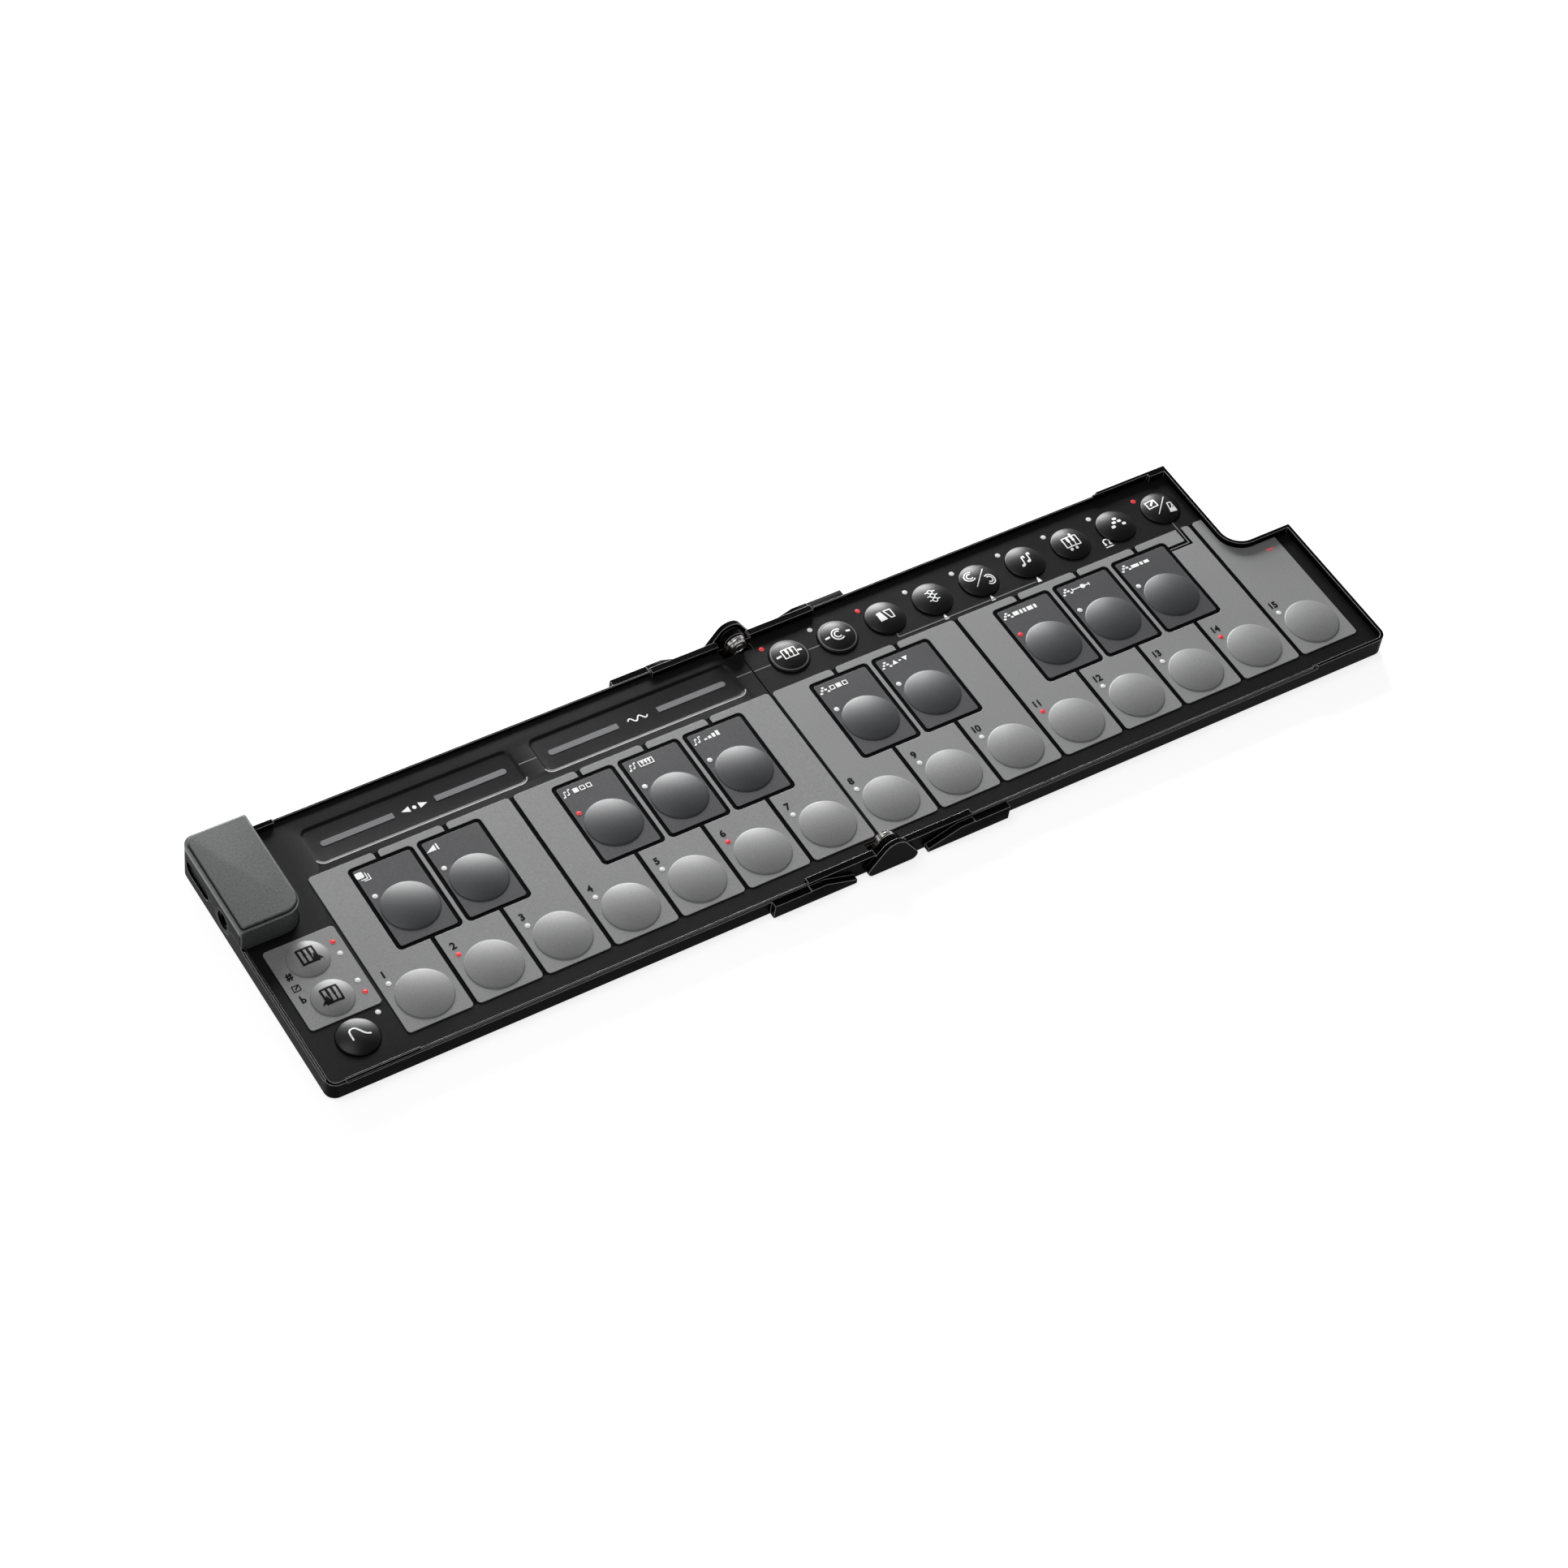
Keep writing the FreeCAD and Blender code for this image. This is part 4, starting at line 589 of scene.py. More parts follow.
for body_half in (LEFT, RIGHT):
    side = body_half.split("_")[0]
    nodes = ["light_key_%d" % n for n in range(1, LIGHT_KEYS + 1)
             if key_half(n, LEFT_LIGHT_KEYS) == body_half]
    if body_half == LEFT:
        nodes += SHIFT_BUTTONS
    lip_pieces(side + "_light_lips", nodes, light_print, body_half,
               face_top[body_half])
    nodes = ["dark_key_%d" % n for n in range(1, DARK_KEYS + 1)
             if key_half(n, LEFT_DARK_KEYS) == body_half]
    lip_pieces(side + "_dark_lips", nodes, dark_print, body_half, face_top[body_half])

# The tray and hinge cover bevels carry the light grey edge colour, a painted highlight.
softened("left_tray", 0.36, tray_black, LEFT, segments=3, edge=tray_bevel_highlight)
softened("right_tray", 0.36, tray_black, RIGHT, segments=3, edge=tray_bevel_highlight)
for side in ("left", "right"):
    low, high = node_box(side + "_light_faces")
    if side == "left":
        first_key, second_key = node_middle("light_key_1")[0], node_middle("light_key_2")[0]
        low[0] = first_key - (second_key - first_key) / 2 + 0.8
    darken_field(sheet_finish[side], low, high)
softened("left_sheet", 0.18, sheet_finish["left"], LEFT, segments=3, angle=20)
softened("right_sheet", 0.12, sheet_finish["right"], RIGHT)
softened("left_light_faces", 0.12, light_print, LEFT)
softened("right_light_faces", 0.12, light_print, RIGHT)
softened("left_dark_faces", 0.12, dark_print, LEFT)
softened("right_dark_faces", 0.12, dark_print, RIGHT)
# The housing bevels carry the light grey edge colour, a painted highlight.
softened("port_housing", 0.34, housing_grey, LEFT, segments=3, edge=housing_bevel_highlight)
softened("hinge_covers", 0.30, tray_black, LEFT, segments=3, edge=tray_bevel_highlight)
softened("touch_bars", 0.04, bar_print, LEFT)
dressed("usb_socket", socket_steel)
dressed("midi_jack", jack_black)
for side in ("left", "right"):
    dressed(side + "_board", board_green)
    dressed(side + "_board_screws", steel)
    dressed(side + "_feet", rubber)


# hinge leaves and pins

LEAF_EYE = 1.4
EYE_RADIUS = 3.05
EYE_BORE = 1.66


def hinge_places():
    """Height of the hinge axis and the inner side of the leaves from the middle, millimetres."""
    low, high = node_box("hinge_pins")
    return (low[2] + high[2]) / 2, node_box("hinge_leaves")[1][1] - LEAF_EYE


def hinge_leaves():
    """Polished eyes round both pins, and the bent arms that carry them.

    An eye is a closed section turned round the pin. An arm is an outline in X and Z with the
    thickness of the eye along Y: a foot on the pocket floor and a plate leaning up to the eye.
    """
    axis_height, inside = hinge_places()
    low, high = node_box("hinge_leaves")
    section = np.array([(EYE_BORE, 0.05), (EYE_RADIUS - 0.22, 0.05), (EYE_RADIUS, 0.25),
                        (EYE_RADIUS, 0.55), (EYE_RADIUS - 0.14, 0.64), (EYE_RADIUS - 0.14, 0.74),
                        (EYE_RADIUS, 0.83), (EYE_RADIUS, 1.15), (EYE_RADIUS - 0.22, 1.35),
                        (EYE_BORE, 1.35)])
    ring_points, quads = band_arrays(section, 72)
    x, y, z = ring_points.T
    eyes = [np.stack([x, way * (inside + z), axis_height - way * y], axis=-1) for way in (1, -1)]
    faces = np.vstack([quads, quads + len(ring_points)]).tolist()
    new_piece("hinge_eyes", np.vstack(eyes), faces, steel, LEFT,
              hides=("hinge_leaves",))
    outer, floor = low[0], low[2]
    outline = np.array([(outer, floor), (-0.6, floor), (-0.6, floor + 0.8), (outer + 1.1, floor + 0.8),
                        (-EYE_RADIUS + 0.45, axis_height - 0.5), (-EYE_RADIUS + 0.1, axis_height),
                        (-EYE_RADIUS - 0.3, axis_height), (outer, floor + 0.9)])
    flat, flat_faces = prism(outline)
    across, up, deep = flat.T
    arms = [np.stack([across, -inside - LEAF_EYE - deep * LEAF_EYE * 0.98, up], axis=-1),
            np.stack([across, inside - deep * LEAF_EYE * 0.98, up], axis=-1)]
    all_faces = flat_faces + [[index + len(flat) for index in face] for face in flat_faces]
    piece = new_piece("hinge_arms", np.vstack(arms), all_faces, leaf_steel, LEFT)
    bevel = piece.modifiers.new("edge_round", "BEVEL")
    bevel.width = 0.10 * MM
    bevel.segments = 2
    bevel.harden_normals = True

SHANK_RADIUS = 1.6
SHANK_LENGTH = 5.4
HEAD_RADIUS = 2.7
HEAD_LENGTH = 1.22


def hinge_pins():
    """Both hinge pins: a shank and a polished head of two turned rims and a low crown.

    The section starts at the outer end of the shank. (x, y, z) of the turned pin goes to
    (x, -way z, way y), so that its head points from either hinge to the middle.
    """
    section = np.array([(0, -SHANK_LENGTH), (1.45, -SHANK_LENGTH), (SHANK_RADIUS, -5.25),
                        (SHANK_RADIUS, 0), (2.45, 0), (HEAD_RADIUS, 0.15), (HEAD_RADIUS, 0.36),
                        (2.52, 0.44), (2.52, 0.52), (HEAD_RADIUS, 0.60), (HEAD_RADIUS, 0.78),
                        (2.35, 1.03), (1.60, 1.10), (1.46, 0.98), (1.32, 1.10), (0.8, 1.17),
                        (0, HEAD_LENGTH)])
    turned_pin, faces = turned_arrays(section, 64)
    axis_height, inside = hinge_places()
    x, y, z = turned_pin.T
    both = [np.stack([x, way * (inside - z), axis_height + way * y], axis=-1) for way in (1, -1)]
    all_faces = faces + [[index + len(turned_pin) for index in face] for face in faces]
    new_piece("hinge_pins_look", np.vstack(both), all_faces, steel, LEFT,
              hides=("hinge_pins",))


# flat prints

INK_LIFT = 0.06
INK_DEPTH = 0.10
INK_STEP = 0.35
INK_LAYER = 0.03


def prism(outline):
    """Top, bottom and rim of a flat shape from its outline, anticlockwise, as arrays."""
    outline = np.asarray(outline, float)
    count = len(outline)
    ring = np.arange(count)
    after = np.roll(ring, -1)
    rim = np.stack([ring + count, after + count, after, ring], axis=-1)
    points = np.vstack([np.column_stack([outline, np.zeros(count)]),
                        np.column_stack([outline, -np.ones(count)])])
    return points, [ring.tolist(), (ring + count)[::-1].tolist()] + rim.tolist()


def patch(corners):
    """A filled shape as a fine grid: four corners blended by two shares, a third side halved."""
    corners = np.asarray(corners, float)
    if len(corners) == 3:
        corners = np.vstack([corners, (corners[2] + corners[0]) / 2])
    sides = np.linalg.norm(corners - np.roll(corners, -1, axis=0), axis=1)
    steps = int(np.ceil(sides.max() / INK_STEP)) + 1
    share = np.linspace(0, 1, steps)
    along, across = np.meshgrid(share, share)
    along, across = along[..., None], across[..., None]
    near = corners[0] * (1 - along) + corners[1] * along
    far = corners[3] * (1 - along) + corners[2] * along
    flat = (near * (1 - across) + far * across).reshape(-1, 2)
    count = len(flat)
    index = np.arange(count).reshape(steps, steps)
    top = np.stack([index[:-1, :-1], index[:-1, 1:], index[1:, 1:], index[1:, :-1]], axis=-1)
    top = top.reshape(-1, 4)
    edge = np.concatenate([index[0, :-1], index[:-1, -1], index[-1, :0:-1], index[:0:-1, 0]])
    after = np.roll(edge, -1)
    rim = np.stack([edge + count, after + count, after, edge], axis=-1)
    points = np.vstack([np.column_stack([flat, np.zeros(count)]),
                        np.column_stack([flat, -np.ones(count)])])
    return points, np.vstack([top, top[:, ::-1] + count, rim]).tolist()


def strip(middle, width, closed=False):
    """A band of even width along a line of points: each point moved half the width sideways."""
    middle = np.asarray(middle, float)
    if closed:
        ahead = np.roll(middle, -1, axis=0) - np.roll(middle, 1, axis=0)
    else:
        ahead = np.gradient(middle, axis=0)
    ahead /= np.linalg.norm(ahead, axis=1, keepdims=True)
    aside = np.stack([-ahead[:, 1], ahead[:, 0]], axis=-1) * width / 2
    count = len(middle)
    flat = np.vstack([middle + aside, middle - aside])
    points = np.vstack([np.column_stack([flat, np.zeros(2 * count)]),
                        np.column_stack([flat, -np.ones(2 * count)])])
    left_side = np.arange(count)
    step = left_side if closed else left_side[:-1]
    after = (step + 1) % count
    deep = 2 * count
    top = np.stack([step, step + count, after + count, after], axis=-1)
    low = np.stack([after, after + count, step + count, step], axis=-1) + deep
    near = np.stack([step + deep, step, after, after + deep], axis=-1)
    far = np.stack([after + count + deep, after + count, step + count, step + count + deep], axis=-1)
    faces = np.vstack([top, low, near, far]).tolist()
    if not closed:
        start = [0, deep, deep + count, count]
        end = [count - 1, 2 * count - 1, deep + 2 * count - 1, deep + count - 1]
        faces += [start, end]
    return points, faces


def line(start, end, width):
    """A straight band from start to end in even steps."""
    start, end = np.asarray(start, float), np.asarray(end, float)
    steps = max(2, int(np.ceil(np.linalg.norm(end - start) / INK_STEP)) + 1)
    share = np.linspace(0, 1, steps)[:, None]
    return strip(start + (end - start) * share, width)


def polyline(points, width, closed=False):
    """Straight bands from point to point, with a round dot on every corner."""
    points = [np.asarray(point, float) for point in points]
    ends = points[1:] + points[:1] if closed else points[1:]
    shapes = [line(start, end, width) for start, end in zip(points, ends)]
    return shapes + [dot(point, width / 2) for point in points]


def dot(centre, radius, stretch=1.0, turn=0.0, sides=24):
    """An ellipse: a circle stretched along X and turned."""
    angle = np.linspace(0, 2 * math.pi, sides, endpoint=False)
    shape = np.stack([np.cos(angle) * radius * stretch, np.sin(angle) * radius], axis=-1)
    spin = math.radians(turn)
    spin = np.array([[math.cos(spin), math.sin(spin)], [-math.sin(spin), math.cos(spin)]])
    return prism(shape @ spin + np.asarray(centre, float))


def ring(centre, radius, width, start=0.0, end=360.0):
    """A band along a circle, from one angle to another."""
    steps = max(8, int(radius * math.radians(end - start) / 0.3) + 2)
    closed = end - start >= 360
    angle = np.radians(np.linspace(start, end, steps, endpoint=not closed))
    middle = np.stack([np.cos(angle), np.sin(angle)], axis=-1) * radius
    return strip(middle + np.asarray(centre, float), width, closed)


def rounded_bar(centre, length, height, radius=None):
    """A filled rectangle with round corners: its corner arcs joined."""
    radius = min(length, height) / 2 * 0.999 if radius is None else radius
    corner = np.array([[1, 1], [-1, 1], [-1, -1], [1, -1]])
    inset = np.array([length / 2 - radius, height / 2 - radius])
    angle = np.radians(np.linspace(0, 90, 6))
    arcs = [inset * corner[k] + radius * np.stack([np.cos(angle + k * math.pi / 2),
                                                   np.sin(angle + k * math.pi / 2)], axis=-1)
            for k in range(4)]
    return prism(np.vstack(arcs) + np.asarray(centre, float))


def shifted(shapes, offset):
    """Shapes moved by an offset in X and Y."""
    move = np.array([offset[0], offset[1], 0.0])
    return [(points + move, faces) for points, faces in shapes]


def print_piece(name, shapes, material, body, height):
    """Printed shapes as one thin mesh: its height is a number or a function of X and Y."""
    points = []
    faces = []
    start = 0
    for order, (shape_points, shape_faces) in enumerate(shapes):
        points.append(shape_points + [0, 0, INK_LAYER * (order % 11)])
        faces += [[index + start for index in face] for face in shape_faces]
        start += len(shape_points)
    points = np.vstack(points)
    base = height(points[:, 0], points[:, 1]) if callable(height) else height
    points[:, 2] = base + INK_LIFT + points[:, 2] * INK_DEPTH
    return new_piece(name, points, faces, material, body)


def keyboard_icon(width, tall, pen, black_keys=2):
    """A small keyboard: a frame with black keys hanging from its top, each on a thin line."""
    left_x, right_x, top, low = -width / 2, width / 2, tall / 2, -tall / 2
    shapes = polyline([(left_x, low), (right_x, low), (right_x, top), (left_x, top)], pen, True)
    for index in range(black_keys):
        x = left_x + width * (index + 1) / (black_keys + 1)
        shapes.append(rounded_bar((x, top - tall * 0.28), width * 0.17, tall * 0.56, 0.1))
        shapes.append(line((x, top - tall * 0.4), (x, low), pen * 0.8))
    return shapes


def side_dashes(reach, length, thick, height):
    """A short dash each side of an icon."""
    return [rounded_bar((way * reach, height), length, thick, thick * 0.3) for way in (-1, 1)]


def nested_arcs(radius, pen, opening, turn=0.0):
    """Two round bands, one inside the other, open to one side."""
    start, end = turn + opening, turn + 360 - opening
    return [ring((0, 0), radius, pen, start, end), ring((0, 0), radius * 0.56, pen, start, end)]


def note(scale):
    """A slanted eighth note: a leaning head, a stem and a flag."""
    head = dot((-0.55 * scale, -1.25 * scale), 0.42 * scale, 1.5, 18)
    stem = line((-0.12 * scale, -1.15 * scale), (0.10 * scale, 1.3 * scale), 0.36 * scale)
    flag = line((0.05 * scale, 1.25 * scale), (0.95 * scale, 1.5 * scale), 0.50 * scale)
    tip = line((0.85 * scale, 1.5 * scale), (0.80 * scale, 0.75 * scale), 0.34 * scale)
    return [head, stem, flag, tip]


def note_pair(scale):
    """Two notes side by side, the second one higher."""
    return (shifted(note(scale), (-0.9 * scale, -0.3 * scale))
            + shifted(note(scale), (1.15 * scale, 0.3 * scale)))


def step_dots(scale):
    """Five short bars in three rows that widen downwards."""
    spots = [(0.25, 1.55), (-0.75, 0.2), (1.15, 0.2), (-1.7, -1.2), (2.1, -1.2)]
    return [rounded_bar((x * scale, y * scale), 1.35 * scale, 0.95 * scale, 0.3 * scale)
            for x, y in spots]


def pencil_box(scale):
    """A square frame with a pencil leaning across it."""
    frame_line = polyline([(-1.2 * scale, -1.1 * scale), (1.2 * scale, -1.1 * scale),
                           (1.2 * scale, 1.1 * scale), (-1.2 * scale, 1.1 * scale)],
                          0.3 * scale, True)
    pencil = line((-0.45 * scale, -0.45 * scale), (0.95 * scale, 1.0 * scale), 0.5 * scale)
    return frame_line + [pencil]


def metronome(scale):
    """A tapered frame with a filled foot and a leaning hand."""
    outline = polyline([(-1.1 * scale, -1.6 * scale), (1.1 * scale, -1.6 * scale),
                        (0.75 * scale, 1.6 * scale), (-0.45 * scale, 1.6 * scale)],
                       0.3 * scale, True)
    foot = patch([(-1.1 * scale, -1.6 * scale), (1.1 * scale, -1.6 * scale),
                  (1.0 * scale, -0.4 * scale), (-0.9 * scale, -0.4 * scale)])
    hand = line((0.0, -0.6 * scale), (0.95 * scale, 1.3 * scale), 0.32 * scale)
    return outline + [foot, hand]


def split_panels():
    """A filled panel and an outlined one, both cut off aslant where they meet."""
    filled = patch([(-2.45, -1.6), (-0.15, -1.6), (-0.95, 1.75), (-2.45, 1.75)])
    outline = polyline([(1.05, -1.45), (2.35, -1.45), (2.35, 1.6), (0.05, 1.6)], 0.38, True)
    return [filled] + outline


def link_chain():
    """Three small rings in a column with short rungs at both sides."""
    shapes = []
    for y in (1.75, 0.15, -1.45):
        shapes.append(ring((0, y), 0.72, 0.34))
        for way in (-1, 1):
            shapes.append(line((way * 0.7, y + 0.1), (way * 1.75, y + 0.1), 0.36))
    return shapes


def scale_marks():
    """The keyboard icon with a dot on it and two dots below."""
    shapes = keyboard_icon(4.9, 3.7, 0.36)
    dots = [dot((0.95, 2.6), 0.48), dot((-1.45, -2.8), 0.5), dot((0.35, -2.8), 0.5)]
    return shapes + dots


def divided_pair(upper, lower):
    """Two small icons parted by a slanting thin line."""
    return (shifted(upper, (-2.35, 1.75)) + shifted(lower, (2.7, -1.65))
            + [line((-2.4, -2.6), (3.0, 2.9), 0.26)])


FUNCTION_ICONS = (
    shifted(keyboard_icon(4.4, 3.3, 0.36), (0.1, 0.3)) + side_dashes(3.5, 1.6, 0.7, 0.2),
    nested_arcs(1.95, 0.42, 48) + side_dashes(3.5, 1.5, 0.7, 0.1),
    split_panels(),
    link_chain(),
    divided_pair(nested_arcs(1.75, 0.40, 50), nested_arcs(1.75, 0.40, 50, 180)),
    note_pair(1.12),
    scale_marks(),
    shifted(step_dots(1.0), (0.1, 0.2)),
    divided_pair(pencil_box(1.25), metronome(1.05)),
)


def pad_surface(centre, radius, body_half):
    """Height of a pad's crown as a function of X and Y."""
    def height(x, y):
        return sheet_top[body_half] + pad_top(np.hypot(x - centre[0], y - centre[1]), radius)
    return height


def icon_on_pad(node, shapes, material, body_half, radius):
    """Shapes printed on the crown of a pad, moving with it."""
    centre = node_middle(node)
    print_piece(node + "_icon", shifted(shapes, centre), material, node,
                pad_surface(centre, radius, body_half))


BUTTON_RADIUS = 6.15
RING_RADIUS = 5.55
RING_WIDTH = 0.32

for number, shapes in enumerate(FUNCTION_ICONS, start=1):
    node = "function_button_%d" % number
    icon_on_pad(node, shapes, white_ink, RIGHT, BUTTON_RADIUS)
    if number <= 2:
        centre = node_middle(node)
        print_piece(node + "_ring", shifted([ring((0, 0), RING_RADIUS, RING_WIDTH)], centre),
                    line_ink, node, pad_surface(centre, BUTTON_RADIUS, RIGHT))


def shift_icon(way):
    """The keyboard icon with a filled wedge pointing outwards at its foot."""
    wedge = [(way * 0.9, -2.3), (way * 3.8, -2.3), (way * 1.6, 0.2)]
    if way < 0:
        wedge = wedge[::-1]
    return keyboard_icon(4.7, 5.0, 0.62) + [patch(wedge)]


for name, way in zip(SHIFT_BUTTONS, (1, -1)):
    icon_on_pad(name, shifted(shift_icon(way), (0.1 * way, 0.5)), black_ink, LEFT,
                BUTTON_RADIUS)

velocity_curve = [(-1.95, -1.1), (-1.95, 0.6), (-1.85, 1.7), (-1.35, 2.3), (-0.5, 2.45),
                  (0.2, 2.1), (0.9, 1.1), (1.6, 0.0), (2.4, -0.7), (3.3, -0.95)]
icon_on_pad("curve_button", polyline(velocity_curve, 0.50), white_ink, LEFT,
            BUTTON_RADIUS)


# prints on the sheets and key faces

LAMP_ROW = -20.25
NUMBER_ROW = -16.95
NUMBER_HEIGHT = 2.30
LAMP_FROM_KEY = -7.1


def number_shape(text, centre, tall):
    """A plain numeral as a mesh outline, centred, in millimetres."""
    curve = bpy.data.curves.new("numeral", "FONT")
    curve.body = text
    curve.size = tall / 0.72
    curve.resolution_u = 6
    curve.offset = 0.11
    curve.align_x = "CENTER"
    curve.space_character = 0.92
    holder = bpy.data.objects.new("numeral", curve)
    mesh = bpy.data.meshes.new_from_object(holder)
    points = np.empty(len(mesh.vertices) * 3)
    mesh.vertices.foreach_get("co", points)
    points = points.reshape(-1, 3)
    faces = [list(polygon.vertices) for polygon in mesh.polygons]
    bpy.data.objects.remove(holder)
    bpy.data.curves.remove(curve)
    bpy.data.meshes.remove(mesh)
    points[:, 0] += centre[0]
    points[:, 1] += centre[1] - tall / 2
    points[:, 2] = 0.0
    return points, faces


for body_half in (LEFT, RIGHT):
    side = body_half.split("_")[0]
    numbers = [n for n in range(1, LIGHT_KEYS + 1) if key_half(n, LEFT_LIGHT_KEYS) == body_half]
    shapes = []
    for number in numbers:
        x = node_middle("light_key_%d" % number)[0] + LAMP_FROM_KEY
        shapes.append(number_shape(str(number), (x, NUMBER_ROW), NUMBER_HEIGHT))
    print_piece(side + "_key_numbers", shapes, black_ink, body_half,
                face_top[body_half])


def box_outline(x, width, tall, pen):
    """An open rectangle whose left side is at x."""
    low, high = -tall / 2 + pen / 2, tall / 2 - pen / 2
    near, far = x + pen / 2, x + width - pen / 2
    return polyline([(near, low), (far, low), (far, high), (near, high)], pen, True)


def choice_boxes(chosen):
    """Three small squares in a row, one of them filled."""
    shapes = []
    for index in range(3):
        x = index * 2.15
        shapes += box_outline(x, 1.65, 1.65, 0.32)
        if index == chosen:
            shapes.append(rounded_bar((x + 0.825, 0), 1.5, 1.5, 0.1))
    return shapes


def bar_row(lengths, tall, gap, rise=0.0):
    """Filled bars from left to right; each one is taller than the last by the rise."""
    shapes = []
    x = 0.0
    for index, length in enumerate(lengths):
        height = tall + rise * index
        shapes.append(rounded_bar((x + length / 2, (height - 1.7) / 2), length, height, 0.12))
        x += length + gap
    return shapes


def slider_mark(length, share):
    """A thin line with a round knob at a share of its length."""
    return [line((0, 0), (length, 0), 0.36), dot((length * share, 0), 0.82),
            line((0, -0.6), (0, 0.6), 0.34), line((length, -0.6), (length, 0.6), 0.34)]


def up_down_mark():
    """A wedge up, a short bar and a wedge down."""
    return [prism([(0.0, -0.75), (1.9, -0.75), (0.95, 0.85)]), rounded_bar((2.75, 0), 0.75, 0.5, 0.1),
            prism([(3.6, 0.75), (4.55, -0.85), (5.5, 0.75)])]


def centred_wedges():
    """Two wedges that point outwards from a dot."""
    return [prism([(-1.5, -1.05), (-1.5, 1.05), (-4.1, 0.0)]), dot((0, 0), 0.62),
            prism([(1.5, 1.05), (1.5, -1.05), (4.1, 0.0)])]


def wave_mark(length, height, pen):
    """Two periods of a sine wave, y = height sin(4 pi x / length), as one even band."""
    x = np.linspace(-length / 2, length / 2, 49)
    y = height * np.sin(4 * math.pi * x / length)
    return [strip(np.stack([x, y], axis=-1), pen)]


def card_stack():
    """A filled card with the corners of two more behind it."""
    shapes = [rounded_bar((-0.85, 0.55), 2.3, 2.2, 0.45)]
    for step in (0.75, 1.45):
        x, y = -0.85 + step, 0.55 - step * 0.85
        shapes += polyline([(x - 0.9, y - 1.1), (x + 1.0, y - 1.1), (x + 1.0, y + 0.9)], 0.3)
    return shapes


def rising_wedge():
    """A long wedge that rises to the right, ended by an upright bar."""
    return [prism([(-2.1, -1.0), (1.0, -1.0), (1.0, 1.0)]), rounded_bar((1.65, 0), 0.5, 2.3, 0.1)]


DARK_ICON_ROW = 15.25
DARK_ICON_PLACE = -6.9
DARK_MARK_PLACE = -4.75
DARK_ICONS = (card_stack(), rising_wedge()) + (note_pair(0.68),) * 3 + (step_dots(0.66),) * 5
DARK_MARKS = ((), (), choice_boxes(0), shifted(keyboard_icon(4.4, 1.9, 0.32, 3), (2.4, 0)),
              bar_row((0.95, 0.95, 0.95, 0.95), 0.6, 0.45, 0.42), choice_boxes(1), up_down_mark(),
              bar_row((1.9, 0.8, 0.8, 1.9, 0.8), 1.5, 0.5), slider_mark(6.0, 0.62),
              bar_row((2.6, 0.9, 1.7), 1.15, 0.55))

for body_half in (LEFT, RIGHT):
    side = body_half.split("_")[0]
    shapes = []
    for number in range(1, DARK_KEYS + 1):
        if key_half(number, LEFT_DARK_KEYS) != body_half:
            continue
        x = node_middle("dark_key_%d" % number)[0]
        shapes += shifted(DARK_ICONS[number - 1], (x + DARK_ICON_PLACE, DARK_ICON_ROW))
        shapes += shifted(DARK_MARKS[number - 1], (x + DARK_MARK_PLACE, DARK_ICON_ROW))
    print_piece(side + "_dark_key_marks", shapes, white_ink, body_half,
                face_top[body_half])

SHIFT_MARKS_X = -169.6
sharp = [line((-0.5, -1.25), (-0.3, 1.25), 0.44), line((0.35, -1.25), (0.55, 1.25), 0.44),
         line((-0.95, -0.6), (1.0, -0.35), 0.52), line((-0.95, 0.35), (1.0, 0.6), 0.52)]
tick_box = pencil_box(0.85)
flat = [line((-0.5, -1.25), (-0.5, 1.4), 0.48), ring((-0.1, -0.5), 0.58, 0.46, -100, 110)]
shapes = (shifted(sharp, (SHIFT_MARKS_X, -6.2)) + shifted(tick_box, (SHIFT_MARKS_X, -10.4))
          + shifted(flat, (SHIFT_MARKS_X, -14.4)))
print_piece("shift_panel_marks", shapes, black_ink, LEFT, face_top[LEFT])

STRIP_ROW = 30.85
THIN = 0.38
strip_low, strip_high = node_box("touch_bars")
bar_level = node_box("touch_bars")[1][2]
left_lines = [line((-78.0, STRIP_ROW), (-72.2, STRIP_ROW), THIN),
              line((-5.6, STRIP_ROW), (-0.5, STRIP_ROW), THIN)]
print_piece("left_row_lines", left_lines, line_ink, LEFT, sheet_top[LEFT])

first, second, third, ninth = (node_middle("function_button_%d" % n) for n in (1, 2, 3, 9))
ARROW_ROW = 23.15
right_lines = [line((0.5, STRIP_ROW), (first[0] - 6.5, STRIP_ROW), THIN),
               line((first[0] + 6.5, STRIP_ROW), (second[0] - 6.5, STRIP_ROW), THIN)]
last_arrow = node_middle("function_button_6")[0]
right_lines += polyline([(third[0], third[1] - 6.6), (third[0], ARROW_ROW),
                         (last_arrow - 1.3, ARROW_ROW)], THIN)
right_lines += polyline([(ninth[0], ninth[1] - 6.6), (ninth[0], 15.6), (139.3, 15.6)], THIN)
print_piece("right_row_lines", right_lines, line_ink, RIGHT, sheet_top[RIGHT])

arrows = []
for number in (4, 5, 6):
    x = node_middle("function_button_%d" % number)[0]
    arrows.append(prism([(x - 0.72, ARROW_ROW - 0.5), (x + 0.72, ARROW_ROW - 0.5),
                         (x + 0.16, ARROW_ROW + 1.45), (x - 0.16, ARROW_ROW + 1.45)]))
hold_mark = [ring((0, 0.5), 1.0, 0.42, -55, 235), line((-1.35, -1.55), (1.35, -1.55), 0.36),
             line((-1.3, -0.6), (-0.45, -0.6), 0.36), line((0.45, -0.6), (1.3, -0.6), 0.36)]
arrows += shifted(hold_mark, (123.4, 26.6))
print_piece("right_row_marks", arrows, white_ink, RIGHT, sheet_top[RIGHT])

print_piece("top_key_mark", [rounded_bar((167.0, 2.05), 2.5, 0.85, 0.12)], red_ink,
            RIGHT, face_top[RIGHT])

